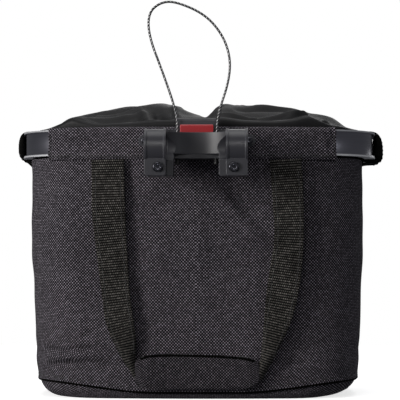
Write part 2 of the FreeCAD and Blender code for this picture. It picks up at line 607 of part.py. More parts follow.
def clamp_strap():
    """The swinging half of the right-hand clamp: a band over the bar, a knuckle and a screw foot."""
    outer_r = BAR_R + STRAP_WALL
    band = around_bar(outer_r, CLAMP_IN, CLAMP_OUT)
    foot = box(CLAMP_IN, CLAMP_OUT, FOOT_FRONT, SPLIT_STRAP, LUG_BOTTOM, BAR_Z - 6)
    foot = foot.makeFillet(2.4, [e for e in edges_along(foot, Y_AXIS) if e.BoundBox.ZMax < LUG_BOTTOM + 1])
    rim_starts = (CLAMP_IN, CLAMP_OUT - STRAP_RIM_WIDTH)
    rims = [around_bar(outer_r + STRAP_RIM, x, x + STRAP_RIM_WIDTH) for x in rim_starts]
    strap = fuse([band, foot] + rims)
    for x0, x1 in ((CLAMP_IN - 1, KNUCKLE_IN), (KNUCKLE_OUT, CLAMP_OUT + 1)):
        strap = strap.cut(rod(KNUCKLE_R + KNUCKLE_GAP, V(x0, HINGE_Y, HINGE_Z), X_AXIS, x1 - x0))
    knuckle = rod(KNUCKLE_R, V(KNUCKLE_IN, HINGE_Y, HINGE_Z), X_AXIS, KNUCKLE_OUT - KNUCKLE_IN)
    strap = fuse([strap, knuckle]).common(box(0, 60, -200, -150, 200, HINGE_Z + KNUCKLE_R))
    strap = strap.cut(bar_room(60))
    strap = strap.cut(rod(HINGE_PIN_R + 0.05, V(20, HINGE_Y, HINGE_Z), X_AXIS, 40))
    strap = strap.cut(rod(SCREW_R + 0.05, V(SCREW_X, -190, SCREW_Z), Y_AXIS, 40))
    seat = rod(SCREW_HEAD_R + 0.4, V(SCREW_X, FOOT_FRONT - 12, SCREW_Z), Y_AXIS, 12 + 1.6)
    return strap.cut(seat)


def clamp_screw():
    """A socket screw that stays in the strap's foot. Its shank is drawn at the thread's minor size."""
    seat_y = FOOT_FRONT + 1.6
    head = rod(SCREW_HEAD_R, V(SCREW_X, seat_y - SCREW_HEAD_H, SCREW_Z), Y_AXIS, SCREW_HEAD_H)
    front = [e for e in head.Edges if e.BoundBox.YMax < seat_y - SCREW_HEAD_H + 0.01]
    head = head.makeFillet(0.5, front)
    shank = rod(SCREW_R, V(SCREW_X, seat_y, SCREW_Z), Y_AXIS, SCREW_TIP - seat_y)
    corners = []
    for k in range(6):
        turn = math.radians(60 * k)
        x, z = SCREW_X + 2.3 * math.cos(turn), SCREW_Z + 2.3 * math.sin(turn)
        corners.append(V(x, seat_y - SCREW_HEAD_H, z))
    socket = Part.Face(wire_of(corners)).extrude(V(0, 2.8, 0))
    return fuse([head, shank]).cut(socket)


def clamp_hinge_pin():
    return rod(HINGE_PIN_R, V(CLAMP_IN + 0.4, HINGE_Y, HINGE_Z), X_AXIS, CLAMP_OUT - CLAMP_IN - 1.1)


def bridge():
    """The front wall between the clamps, hollowed in plan to leave room for a stem."""
    reach = CLAMP_IN - 0.4
    wire = wire_of(
        [
            V(-reach, -161.0, LUG_TOP),
            (V(0, -150.4, LUG_TOP), V(reach, -161.0, LUG_TOP)),
            V(reach, -152.0, LUG_TOP),
            (V(0, WELL_FRONT, LUG_TOP), V(-reach, -152.0, LUG_TOP)),
        ]
    )
    return Part.Face(wire).extrude(V(0, 0, NECK_TOP - LUG_TOP))


def adapter_body():
    """The bracket's moulded body: a tongue, a neck with the button's well, and the clamps' fixed halves."""
    block = clamp_block()
    neck = box(-NECK_HALF_X, NECK_HALF_X, -150.0, -137.9, NECK_BOTTOM, NECK_TOP)
    tongue = box(-TONGUE_HALF_X, TONGUE_HALF_X, -137.9, -131.5, NECK_BOTTOM, TONGUE_TOP)
    body = fuse([neck, tongue, bridge(), block, mirrored_x(block)]).cut(bar_room(60))
    body = body.cut(box(-WELL_HALF_X, WELL_HALF_X, WELL_FRONT, WELL_BACK, WELL_BOTTOM, 260))
    spring_room = box(-28.2, 28.2, CATCH_FRONT, CATCH_BACK, 222.0, SPRING_ROOM_TOP)
    catch_ports = box(-40, 40, CATCH_FRONT, CATCH_BACK, CATCH_BOTTOM, CATCH_TOP)
    stem_room = box(-6.3, 6.3, RECEIVER_FRONT, CATCH_BACK, 230.0, SPRING_ROOM_TOP)
    body = body.cut(spring_room).cut(catch_ports).cut(stem_room)
    below = NECK_BOTTOM - 1
    for s in (-1, 1):
        start = V(s * CABLE_X, CABLE_Y, below)
        body = body.cut(rod(CABLE_HOLE_R, start, Z_AXIS, 40))
        body = body.cut(rod(FERRULE_R + 0.2, start, Z_AXIS, CABLE_END + 0.1 - below))
    return body


def release_button():
    """The red button, pushed straight down, with a stem that bears on the leaf spring."""
    half = BUTTON_HALF_X
    cap = box(-half, half, -146.6, -141.0, BUTTON_BOTTOM, BUTTON_TOP)
    top = [e for e in cap.Edges if e.BoundBox.ZMin > BUTTON_TOP - 0.01]
    cap = cap.makeFillet(1.4, top)
    stem = box(-5.8, 5.8, -141.2, -133.0, BUTTON_BOTTOM, BUTTON_BOTTOM + 1.0)
    return cap.fuse(stem).removeSplitter()


def catch_spring():
    """A bent leaf spring: its bow lifts the button, and its two ends are the catches."""
    y0, y1 = CATCH_FRONT + 0.6, CATCH_BACK - 0.6
    foot = CATCH_BOTTOM + 1.6
    bow_top = BUTTON_BOTTOM - 0.1
    leaf = [(6, bow_top), (26.2, 231.2), (30.0, 233.6), (33.4, 230.2)]
    half = leaf + [(33.4, foot), (26.4, foot), (6, bow_top - 1.5)]
    right = [V(x, y0, z) for x, z in half]
    left = [V(-x, y0, z) for x, z in reversed(half)]
    return Part.Face(wire_of(right + left)).extrude(V(0, y1 - y0, 0))


# ---- security cable ----------------------------------------------------------------------------


def rounded_path(route):
    """Straight runs joined by tangent arcs, each as large as its two runs allow."""
    points = [V(*p) for p in route]
    edges, here, radii = [], points[0], []
    for a, b, c in zip(points, points[1:], points[2:]):
        into, out = (b - a), (c - b)
        reach = ARC_SHARE * min(into.Length, out.Length)
        turn = into.getAngle(out)
        radii.append(reach / math.tan(turn / 2))
        start = b - into.normalize() * reach
        end = b + out.normalize() * reach
        centre_way = (start + end) * 0.5 - b
        sagitta = radii[-1] / math.cos(turn / 2) - radii[-1]
        middle = b + centre_way.normalize() * sagitta
        edges.append(Part.makeLine(here, start))
        edges.append(Part.Arc(start, middle, end).toShape())
        here = end
    edges.append(Part.makeLine(here, points[-1]))
    return Part.Wire(edges), radii


def security_cable():
    path, radii = rounded_path(CABLE_ROUTE)
    first = V(*CABLE_ROUTE[0])
    section = Part.Wire([Part.makeCircle(CABLE_R, first, Z_AXIS)])
    tube = path.makePipeShell([section], True, False)
    share = tube.Volume / (path.Length * math.pi * CABLE_R**2)
    print("cable length", round(path.Length, 1), "volume share", round(share, 4))
    print("cable radii", [round(r) for r in radii])
    return tube


def cable_ferrules():
    """Crimped sleeves on the cable's two ends, seated in the underside of the neck."""
    caps = []
    for s in (-1, 1):
        cap = rod(FERRULE_R, V(s * CABLE_X, CABLE_Y, CABLE_END - FERRULE_LENGTH), Z_AXIS, FERRULE_LENGTH)
        low = [e for e in cap.Edges if e.BoundBox.ZMax < CABLE_END - FERRULE_LENGTH + 0.1]
        caps.append(cap.makeFillet(0.6, low))
    return Part.makeCompound(caps)


# ---- every node --------------------------------------------------------------------------------
def nodes():
    strap, grip = handle_strap(), handle_grip()
    loop = end_loop()
    clamp = {
        "clamp_strap": clamp_strap(),
        "clamp_hinge_pin": clamp_hinge_pin(),
        "clamp_screw": clamp_screw(),
        "clamp_nut": clamp_nut(),
    }
    made = {
        "rim_frame": rim_frame(),
        "rim_joiner": rim_joiner(),
        "rim_rivets": rim_rivets(),
        "rim_sleeve_back": sleeve(-1),
        "rim_sleeve_front": sleeve(1),
        "end_loop_right": loop,
        "end_loop_left": mirrored_x(loop),
        "body_shell": body_shell(),
        "base_panel": base_panel(),
        "base_board": base_board(),
        "inner_lining": inner_lining(),
        "drawstring_cover": drawstring_cover(),
        "cover_hem": cover_hem(),
        "drawstring": drawstring(),
        "cord_lock_barrel": cord_lock_barrel(),
        "cord_lock_plunger": cord_lock_plunger(),
        "cord_lock_spring": cord_lock_spring(),
        "back_handle_strap": strap,
        "back_handle_grip": grip,
        "front_handle_strap": mirrored_y(strap),
        "front_handle_grip": mirrored_y(grip),
        "receiver_bracket": receiver_bracket(),
        "receiver_screws": receiver_screws(),
        "receiver_backing_bar": receiver_backing_bar(),
        "adapter_body": adapter_body(),
        "release_button": release_button(),
        "catch_spring": catch_spring(),
        "security_cable": security_cable(),
        "cable_ferrules": cable_ferrules(),
    }
    for name, shape in clamp.items():
        made[name + "_right"] = shape
        made[name + "_left"] = mirrored_x(shape)
    return made


def main():
    os.makedirs("parts", exist_ok=True)
    for name, shape in nodes().items():
        if not shape.isValid():
            print("not valid:", name)
        shape.exportStep(f"parts/{name}.step")


main()
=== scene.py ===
"""Looks of the handlebar basket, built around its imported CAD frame.

Metres throughout, +Z up, and -Y faces the rider. MM turns the sizes written in millimetres into metres.
"""

import math

import bmesh
import bpy
import numpy as np
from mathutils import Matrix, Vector


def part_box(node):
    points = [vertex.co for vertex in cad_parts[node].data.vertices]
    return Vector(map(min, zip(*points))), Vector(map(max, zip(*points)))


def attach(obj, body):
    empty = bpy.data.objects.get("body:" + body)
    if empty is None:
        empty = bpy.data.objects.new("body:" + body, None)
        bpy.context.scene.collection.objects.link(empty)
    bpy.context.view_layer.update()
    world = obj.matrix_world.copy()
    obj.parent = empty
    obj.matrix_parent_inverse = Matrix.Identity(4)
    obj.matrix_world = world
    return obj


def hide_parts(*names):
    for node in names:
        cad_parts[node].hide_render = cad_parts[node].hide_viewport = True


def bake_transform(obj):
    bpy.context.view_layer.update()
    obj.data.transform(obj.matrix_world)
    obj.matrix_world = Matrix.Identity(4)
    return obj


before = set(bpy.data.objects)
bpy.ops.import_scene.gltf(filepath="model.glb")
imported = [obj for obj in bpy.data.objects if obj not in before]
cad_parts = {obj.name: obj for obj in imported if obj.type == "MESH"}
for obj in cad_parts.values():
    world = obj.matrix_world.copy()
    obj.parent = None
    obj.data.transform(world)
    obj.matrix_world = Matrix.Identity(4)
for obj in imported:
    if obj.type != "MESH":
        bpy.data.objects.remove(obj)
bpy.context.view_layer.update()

MM = 0.001

# Outlines of the rim and of the bag, seen from above: half sizes, and corner, side and long radius.
RIM_HALF = (0.169, 0.126)
RIM_ARCS = (0.068, 0.450, 0.600)
BODY_ARCS = (0.060, 0.450, 0.600)
RIM_LOW, RIM_HIGH = (corner.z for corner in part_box("rim_frame"))
BAG_HALF = (0.158, 0.125)
BAG_SIDES = (  # height, and X of the bag's left and right side, mm
    (0, -153.0, 149.0), (16, -154.2, 151.2), (26, -155.6, 152.8), (48, -157.2, 153.6), (73, -157.9, 154.8),
    (110, -159.0, 155.8), (147, -160.5, 156.7), (181, -161.1, 156.9), (225, -161.7, 156.6),
)
BAG_DEPTHS = ((0, 119.3), (24, 119.6), (110, 122.0), (225, 125.0))  # height and half depth, mm
BODY_TOP_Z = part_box("body_shell")[1].z
CLOTH = 1.4 * MM
SEAM_LOW, SEAM_RISE = 0.0068, 0.0100  # height of the base seam at the back, and its rise at the ends
MOUTH_CENTRE_X = 0.0035


# ---- small mathematics ----
def smooth(t):
    """0 to 1 with flat ends."""
    t = np.clip(t, 0.0, 1.0)
    return t * t * (3 - 2 * t)


def through(points, x):
    """A smooth curve through the points, read at x."""
    px, py = np.array(points, float).T
    slope = np.gradient(py, px)
    i = np.clip(np.searchsorted(px, x) - 1, 0, len(px) - 2)
    h = px[i + 1] - px[i]
    t = np.clip((x - px[i]) / h, 0, 1)
    a = (1 + 2 * t) * (1 - t) ** 2 * py[i] + t * (1 - t) ** 2 * h * slope[i]
    b = t * t * (3 - 2 * t) * py[i + 1] + t * t * (t - 1) * h * slope[i + 1]
    return a + b


def unit(vectors):
    """The same directions, each 1 long."""
    return vectors / np.maximum(np.linalg.norm(vectors, axis=-1, keepdims=True), 1e-12)


def distances(points):
    """The distance along a line at each of its points."""
    return np.concatenate([[0], np.cumsum(np.linalg.norm(np.diff(points, axis=0), axis=1))])


def raised(plan, z):
    """Places in plan, and a height for each, as points."""
    return np.concatenate([plan, z[..., None]], -1)


def level(plan):
    """Directions in plan as directions in space."""
    return raised(plan, np.zeros(plan.shape[:-1]))


def ripple(x, y, wavelength, seed):
    """Gentle uneven undulation between about -1 and 1."""
    rng = np.random.default_rng(seed)
    waves = 7
    total = np.zeros(np.broadcast(x, y).shape)
    for _ in range(waves):
        angle = rng.uniform(0, math.tau)
        k = math.tau / (wavelength * rng.uniform(0.7, 1.5))
        total += np.sin(k * (x * math.cos(angle) + y * math.sin(angle)) + rng.uniform(0, math.tau))
    return total / math.sqrt(waves * 2)


def crease(x, y, start, end, width):
    """1 along a line from start to end, falling off to both sides and to the ends."""
    (x0, y0), (x1, y1) = start, end
    length2 = (x1 - x0) ** 2 + (y1 - y0) ** 2
    t = np.clip(((x - x0) * (x1 - x0) + (y - y0) * (y1 - y0)) / length2, 0, 1)
    away = (x - x0 - t * (x1 - x0)) ** 2 + (y - y0 - t * (y1 - y0)) ** 2
    return np.exp(-away / width ** 2) * np.sin(math.pi * (0.12 + 0.76 * t))


def creases(x, y, folds):
    """Several creases together, each given as start, end, width and depth, in millimetres."""
    return sum(depth * crease(x / MM, y / MM, start, end, width) for start, end, width, depth in folds)


def oval(half, arcs, inset=0.0, dense=400):
    """A closed outline of tangent arcs from (0, -half_y), counterclockwise, dense points to each arc."""
    corner_r, side_r, long_r = arcs
    long_c = np.array([0.0, long_r - half[1]])
    side_c = np.array([half[0] - side_r, 0.0])
    a, b = long_r - corner_r, side_r - corner_r
    line = side_c - long_c
    gap = np.linalg.norm(line)
    along = (a * a - b * b + gap * gap) / (2 * gap)
    off = math.sqrt(a * a - along * along)
    across = np.array([-line[1], line[0]]) / gap
    corner_c = long_c + along * line / gap + off * across
    first = math.atan2(*(corner_c - long_c)[::-1])
    second = math.atan2(*(corner_c - side_c)[::-1])
    quarter = []
    for centre, radius, start, end in ((long_c, long_r, -math.pi / 2, first),
                                       (corner_c, corner_r, first, second), (side_c, side_r, second, 0.0)):
        angles = np.linspace(start, end, dense)[:-1]
        quarter.append(centre + (radius - inset) * np.stack([np.cos(angles), np.sin(angles)], 1))
    right = np.concatenate(quarter + [np.array([[half[0] - inset, 0.0]])])
    half_loop = np.concatenate([right, (right * [1, -1])[::-1][1:]])
    return np.concatenate([half_loop, (half_loop * [-1, 1])[::-1][1:-1]])


def resample(points, count, closed=False):
    """The same line as equally spaced points."""
    loop = np.concatenate([points, points[:1]]) if closed else points
    at = distances(loop)
    marks = np.linspace(0, at[-1], count + 1)[:-1] if closed else np.linspace(0, at[-1], count)
    return np.stack([np.interp(marks, at, column) for column in loop.T], 1)


def smooth_line(points, count):
    """A rounded line near the points: corners cut three times, then spaced evenly."""
    for _ in range(3):
        near = points[:-1] * 0.75 + points[1:] * 0.25
        far = points[:-1] * 0.25 + points[1:] * 0.75
        middle = np.stack([near, far], 1).reshape(-1, points.shape[1])
        points = np.concatenate([points[:1], middle, points[-1:]])
    return resample(points, count)


def ring_normals(ring):
    """Outward directions of a closed outline in its own plane."""
    along = unit(np.roll(ring, -1, 0) - np.roll(ring, 1, 0))
    return np.stack([along[:, 1], -along[:, 0]], 1)


def outline(half, arcs, count, inset=0.0):
    """Equally spaced points of an oval, and their outward normals."""
    points = resample(oval(half, arcs, inset), count, True)
    return points, ring_normals(points)


# ---- mesh building ----
def new_object(name, verts, faces, uvs=None):
    """A mesh object; uvs holds one (u, v) for each corner of each face, in metres of cloth."""
    mesh = bpy.data.meshes.new(name)
    mesh.from_pydata([tuple(v) for v in verts], [], [tuple(int(i) for i in f) for f in faces])
    if uvs is not None:
        layer = mesh.uv_layers.new(name="cloth")
        layer.data.foreach_set("uv", np.asarray(uvs, np.float32).ravel())
    mesh.polygons.foreach_set("use_smooth", [True] * len(mesh.polygons))
    mesh.update()
    obj = bpy.data.objects.new(name, mesh)
    bpy.context.scene.collection.objects.link(obj)
    return obj


def quads(rows, cols, wrap, offset=0, flip=False, closed=False):
    """Faces of a grid of points and, for each, the grid places of its corners before any wrapping."""
    bands, steps = rows if closed else rows - 1, cols if wrap else cols - 1
    r, c = np.meshgrid(np.arange(bands), np.arange(steps), indexing="ij")
    r, c = r.ravel(), c.ravel()
    corner_r = np.stack([r, r, r + 1, r + 1], 1)
    corner_c = np.stack([c, c + 1, c + 1, c], 1)
    if flip:
        corner_r, corner_c = corner_r[:, ::-1], corner_c[:, ::-1]
    return offset + corner_r % rows * cols + corner_c % cols, corner_r, corner_c


def grid_normals(grid, wrap=False):
    """Unit normals of a grid of points."""
    down = np.gradient(grid, axis=0)
    across = np.roll(grid, -1, 1) - np.roll(grid, 1, 1) if wrap else np.gradient(grid, axis=1)
    return unit(np.cross(across, down))


def cloth_map(grid, wrap):
    """Distances along the grid's two directions, as the cloth's own coordinates."""
    rows, cols = grid.shape[:2]
    ring = grid[rows // 2]
    loop = np.concatenate([ring, ring[:1]]) if wrap else ring
    return np.stack(np.meshgrid(distances(loop), distances(grid[:, cols // 4])), 2)


def shell(name, grid, thickness, wrap=False, uv=None):
    """A closed skin: the grid is its outer face, and the inner face lies its thickness inside."""
    rows, cols = grid.shape[:2]
    thick = np.broadcast_to(np.asarray(thickness, float), (rows, cols))
    inner = grid - grid_normals(grid, wrap) * thick[:, :, None]
    verts = np.concatenate([grid.reshape(-1, 3), inner.reshape(-1, 3)])
    uv = cloth_map(grid, wrap) if uv is None else uv
    size = rows * cols
    parts, maps = [], []
    for offset, flip in ((0, False), (size, True)):
        faces, r, c = quads(rows, cols, wrap, offset, flip)
        parts.append(faces)
        maps.append(uv[r, c])
    ring = np.arange(cols if wrap else cols - 1)
    side = np.arange(rows - 1)
    edges = [(np.full_like(ring, row), ring, 0, 1) for row in (0, rows - 1)]
    if not wrap:
        edges += [(side, np.full_like(side, col), 1, 0) for col in (0, cols - 1)]
    for r, c, more_r, more_c in edges:
        a = r * cols + c % cols
        b = (r + more_r) * cols + (c + more_c) % cols
        parts.append(np.stack([a, b, b + size, a + size], 1))
        start, end = uv[r, c], uv[r + more_r, c + more_c]
        maps.append(np.stack([start, end, end, start], 1))
    return close_up(new_object(name, verts, np.concatenate(parts), np.concatenate(maps)))


def close_up(obj):
    """Makes all faces look outwards."""
    work = bmesh.new()
    work.from_mesh(obj.data)
    bmesh.ops.recalc_face_normals(work, faces=work.faces)
    work.to_mesh(obj.data)
    work.free()
    return obj


def frames_along(path, closed=False):
    """Two unit directions across a path at each of its points, with no twist between neighbours."""
    along = unit(np.roll(path, -1, 0) - np.roll(path, 1, 0) if closed else np.gradient(path, axis=0))
    start = np.cross(along[0], [0.0, 0.0, 1.0])
    if np.linalg.norm(start) < 0.1:
        start = np.cross(along[0], [0.0, 1.0, 0.0])
    side = [unit(start)]
    for tangent in along[1:]:
        side.append(unit(side[-1] - tangent * np.dot(side[-1], tangent)))
    side = np.array(side)
    return side, np.cross(along, side)


def tube_parts(path, radius, sides, closed, offset):
    """Points and faces of a round tube along a path, with closed ends."""
    side, up = frames_along(path, closed)
    turn = np.linspace(0, math.tau, sides, endpoint=False)
    ring = side[:, None] * np.cos(turn)[None, :, None] + up[:, None] * np.sin(turn)[None, :, None]
    verts = (path[:, None] + ring * radius).reshape(-1, 3)
    faces = quads(len(path), sides, True, offset, closed=closed)[0].tolist()
    if not closed:
        ends = offset + np.arange(sides), offset + len(verts) - 1 - np.arange(sides)
        faces += [end.tolist() for end in ends]
    return verts, faces


def tubes(name, paths, radii, sides=8, closed=False):
    """One object of several round tubes, radii being one radius or one for each."""
    verts, faces, offset = [], [], 0
    for path, radius in zip(paths, np.broadcast_to(radii, len(paths))):
        v, f = tube_parts(path, radius, sides, closed, offset)
        verts.append(v)
        faces += f
        offset += len(v)
    return close_up(new_object(name, np.concatenate(verts), faces))


def stitches(name, lines, body, lift, length=2.8 * MM, gap=1.0 * MM, radius=0.32 * MM):
    """Rows of thread: short stitches, dipping into the cloth at both ends, on lines of (points, outward)."""
    paths = []
    rise = np.array([-0.9, 0.55, 1.0, 0.55, -0.9])[:, None] * lift
    for points, outward in lines:
        at = distances(points)
        for k in range(int(at[-1] // (length + gap))):
            marks = k * (length + gap) + np.linspace(0, length, len(rise))
            spot = np.stack([np.interp(marks, at, column) for column in points.T], 1)
            out = np.stack([np.interp(marks, at, column) for column in outward.T], 1)
            paths.append(spot + out * rise)
    return dress(tubes(name + "_stitches", paths, radius, 6), THREAD, body)


# ---- materials ----
def linear(*rgb):
    """A colour given in 0-255 display values."""
    c = [v / 255 for v in rgb]
    return tuple(v / 12.92 if v <= 0.04045 else ((v + 0.055) / 1.055) ** 2.4 for v in c) + (1.0,)


def tinted(colour, times, more=0.0):
    """A lighter or darker version of a colour."""
    return tuple(min(1.0, c * times + more) for c in colour[:3]) + (1.0,)


class Graph:
    """A material's nodes, with short ways to add and join them."""

    def __init__(self, name, **shader):
        self.material = bpy.data.materials.new(name)
        self.material.use_nodes = True
        self.tree = self.material.node_tree
        self.shader = next(n for n in self.tree.nodes if n.type == "BSDF_PRINCIPLED")
        self.finish(**shader)

    def feed(self, socket, value):
        """Joins a socket to another one, or sets it; None leaves it as it is."""
        if isinstance(value, bpy.types.NodeSocket):
            self.tree.links.new(value, socket)
        elif value is not None:
            socket.default_value = value

    def add(self, kind, *values, out=0, **settings):
        """A new node with its sockets fed in order; gives its output."""
        node = self.tree.nodes.new(kind)
        for key, value in settings.items():
            setattr(node, key, value)
        for socket, value in zip(node.inputs, values):
            self.feed(socket, value)
        return node.outputs[out]

    def math(self, operation, a, b=None, c=None):
        return self.add("ShaderNodeMath", a, b, c, operation=operation)

    def times(self, a, b):
        return self.math("MULTIPLY", a, b)

    def plus(self, a, b):
        return self.math("ADD", a, b)

    def power(self, a, b):
        return self.math("POWER", a, b)

    def chance(self, a, b):
        """A random value for each pair of whole numbers."""
        cell = self.add("ShaderNodeCombineXYZ", a, b, 0.0)
        return self.add("ShaderNodeTexWhiteNoise", cell, noise_dimensions="2D")

    def arch(self, x):
        """0 to 1 and back to 0 over each whole step of x."""
        return self.math("SINE", self.times(self.math("FRACT", x), math.pi))

    def mix(self, share, a, b):
        """Between two colours."""
        return self.add("ShaderNodeMix", share, *[None] * 5, a, b, out=2, data_type="RGBA")

    def blend(self, share, a, b):
        """Between two numbers."""
        return self.add("ShaderNodeMix", share, None, a, b, data_type="FLOAT")

    def noise(self, scale, detail=2.0, rough=0.5, where=None):
        return self.add("ShaderNodeTexNoise", where or self.place(), None, scale, detail, rough)

    def place(self):
        """The object's own coordinates."""
        return self.add("ShaderNodeTexCoord", out=3)

    def cloth(self):
        """The cloth's coordinates, in metres."""
        return self.add("ShaderNodeUVMap", uv_map="cloth")

    def split(self, vector):
        return self.add("ShaderNodeSeparateXYZ", vector).node.outputs

    def bump(self, height, distance, strength=1.0, under=None):
        return self.add("ShaderNodeBump", strength, distance, None, height, under)

    def drawn(self, scale):
        """Noise stretched into fine drawn lines."""
        stretched = self.add("ShaderNodeMapping", self.place())
        stretched.node.inputs["Scale"].default_value = scale
        return self.noise(1.0, 3.0, 0.6, where=stretched)

    def edges(self, radius):
        """Normals rounded over the hard edges, and how close an edge is, from 0 to 1."""
        eased = self.add("ShaderNodeBevel", radius, samples=6)
        flat = self.add("ShaderNodeNewGeometry", out=1)
        facing = self.add("ShaderNodeVectorMath", eased, flat, out=1, operation="DOT_PRODUCT")
        return eased, self.add("ShaderNodeMapRange", facing, 0.985, 0.86, 0.0, 1.0)

    def finish(self, **sockets):
        """Feeds the shader's own sockets, spaces in their names written as _."""
        for key, value in sockets.items():
            self.feed(self.shader.inputs[key.replace("_", " ")], value)
        return self.material


def crossing(g, pitch, wander):
    """A plain weave: its height, each crossing's random value, and 1 where the light yarn is on top."""
    u, v, _ = g.split(g.cloth())
    drift = g.times(g.math("SUBTRACT", g.noise(38, 1.0, where=g.cloth()), 0.5), wander)
    x = g.plus(g.math("DIVIDE", u, pitch), drift)
    y = g.plus(g.math("DIVIDE", v, pitch), drift)
    cell_x, cell_y = g.math("FLOOR", x), g.math("FLOOR", y)
    sx, sy = g.arch(x), g.arch(y)
    odd = g.math("PINGPONG", g.plus(cell_x, cell_y), 1.0)
    warp = g.times(sx, g.math("SQRT", sy))
    weft = g.times(g.math("SQRT", sx), sy)
    height = g.blend(odd, warp, weft)
    return height, g.chance(cell_x, cell_y), odd


def heather_cloth(name, dark, light):
    """Coarse two-tone polyester: light yarn ends scattered over a dark ground."""
    g = Graph(name, Roughness=0.9, Specular_IOR_Level=0.06, Sheen_Weight=0.02, Sheen_Roughness=0.45)
    height, chance, odd = crossing(g, 1.40 * MM, 1.2)
    bright = g.plus(0.55, g.times(g.power(chance, 1.5), 0.65))
    spark = g.times(g.power(height, 1.3), g.blend(odd, g.times(chance, 0.06), bright))
    patch = g.noise(9.0, 3.0, 0.6)
    share = g.times(spark, g.plus(0.72, g.times(patch, 0.6)))
    share.node.use_clamp = True
    colour = g.mix(share, dark, light)
    fuzz = g.noise(900.0, 2.0, 0.6)
    normal = g.bump(fuzz, 0.12 * MM, 0.3, g.bump(height, 0.7 * MM, 0.9))
    return g.finish(Base_Color=colour, Normal=normal)


def webbing_material(name, dark, light, pitch=2.3 * MM):
    """Woven strap: cross ribs broken into short floats, offset from rib to rib."""
    g = Graph(name, Roughness=0.85, Specular_IOR_Level=0.07, Sheen_Weight=0.01, Sheen_Roughness=0.4)
    u, v, _ = g.split(g.cloth())
    rib = g.math("DIVIDE", v, pitch)
    row = g.math("FLOOR", rib)
    shift = g.times(g.math("PINGPONG", row, 1.0), 0.5)
    col = g.plus(g.math("DIVIDE", u, 0.8 * pitch), shift)
    sy, sx = g.arch(rib), g.arch(col)
    height = g.times(g.math("SQRT", sy), g.power(sx, 0.35))
    chance = g.chance(g.math("FLOOR", col), row)
    bright = g.plus(0.34, g.times(g.power(chance, 2.0), 0.6))
    spark = g.times(g.times(g.power(sx, 1.6), g.power(sy, 3.2)), bright)
    patch = g.noise(30.0, 2.0, 0.5)
    share = g.times(spark, g.plus(0.6, g.times(patch, 0.8)))
    share.node.use_clamp = True
    return g.finish(Base_Color=g.mix(share, dark, light), Normal=g.bump(height, 0.6 * MM, 0.9))


def nylon_material(name, colour, sheen=0.35, rough=0.5):
    """Thin coated nylon: fine weave, soft gloss and small crinkles."""
    g = Graph(name, Specular_IOR_Level=0.16, Sheen_Weight=sheen, Sheen_Roughness=0.35)
    height, _, _ = crossing(g, 0.5 * MM, 0.5)
    crinkle = g.noise(55.0, 4.0, 0.55)
    soft = g.noise(14.0, 3.0, 0.5)
    tint = g.plus(g.times(height, 0.25), g.times(soft, 0.75))
    normal = g.bump(crinkle, 1.6 * MM, 0.35, g.bump(height, 0.1 * MM, 0.5))
    roughness = g.plus(rough - 0.08, g.times(crinkle, 0.16))
    return g.finish(Base_Color=g.mix(tint, tinted(colour, 0.55), tinted(colour, 1.35)),
                    Normal=normal, Roughness=roughness)


def plastic_material(name, colour, rough=0.42, grain=0.5, coat=0.0):
    """Moulded plastic: fine spark-eroded grain, and a painted highlight: edges painted lighter over normals
    rounded by the bevel.
    """
    g = Graph(name, Specular_IOR_Level=0.5, Coat_Weight=coat, Coat_Roughness=0.25)
    fine = g.noise(2600.0, 2.0, 0.6)
    broad = g.noise(40.0, 3.0, 0.6)
    eased, edge = g.edges(0.75 * MM)
    # painted highlight: the base colour lightens along the edges, as if they caught the light
    base = g.mix(g.times(edge, 0.8), colour, tinted(colour, 3.0, 0.03))
    roughness = g.plus(rough - 0.07, g.times(broad, 0.14))
    return g.finish(Base_Color=base, Roughness=roughness, Normal=g.bump(fine, 0.05 * MM, grain, eased))


def metal_material(name, colour, rough=0.3, edge_highlight=1.0):
    """Metal with fine drawn lines, its edges painted lighter as a painted highlight."""
    g = Graph(name, Metallic=1.0)
    lines = g.drawn((60.0, 60.0, 2400.0))
    cloud = g.noise(25.0, 3.0, 0.6)
    roughness = g.plus(rough - 0.06, g.times(cloud, 0.14))
    eased, edge = g.edges(0.45 * MM)
    # painted highlight: the colour lightens along the edges
    tone = g.mix(edge, g.mix(lines, tinted(colour, 0.8), colour), tinted(colour, edge_highlight))
    return g.finish(Base_Color=tone, Roughness=roughness, Normal=g.bump(lines, 0.03 * MM, 0.5, eased))


def rim_material(name):
    """Dark anodised channel whose lips are painted near white: a painted highlight along both lips."""
    g = Graph(name, Metallic=1.0)
    _, _, z = g.split(g.place())
    # the top and bottom lips, as a mask for their painted highlight
    low = g.add("ShaderNodeMapRange", z, RIM_LOW + 1.2 * MM, RIM_LOW + 2.0 * MM, 1.0, 0.0)
    high = g.add("ShaderNodeMapRange", z, RIM_HIGH - 1.8 * MM, RIM_HIGH - 1.0 * MM, 0.0, 1.0)
    lip = g.math("MAXIMUM", low, high)
    lines = g.drawn((20.0, 20.0, 1800.0))
    web = g.mix(lines, linear(122, 122, 130), linear(150, 149, 158))
    # painted highlight: the lips are coloured near white, and made rougher and less metallic below, so they
    # stay bright under any light
    colour = g.mix(lip, web, linear(226, 227, 230))
    roughness = g.blend(lip, 0.34, 0.5)
    middle = g.math("SUBTRACT", z, (RIM_LOW + RIM_HIGH) / 2)
    hollow = g.times(g.times(middle, middle), 20.0)
    metal = g.blend(lip, 1.0, 0.55)
    normal = g.bump(hollow, 1.0, 1.0, g.bump(lines, 0.03 * MM, 0.6))
    return g.finish(Base_Color=colour, Roughness=roughness, Metallic=metal, Normal=normal)


def thread_material(name, colour):
    """Twisted sewing thread."""
    g = Graph(name, Roughness=0.6, Sheen_Weight=0.3)
    twist = g.noise(1500.0, 1.0, 0.5)
    return g.finish(Base_Color=g.mix(twist, colour, tinted(colour, 1.8)), Normal=g.bump(twist, 0.1 * MM, 0.6))


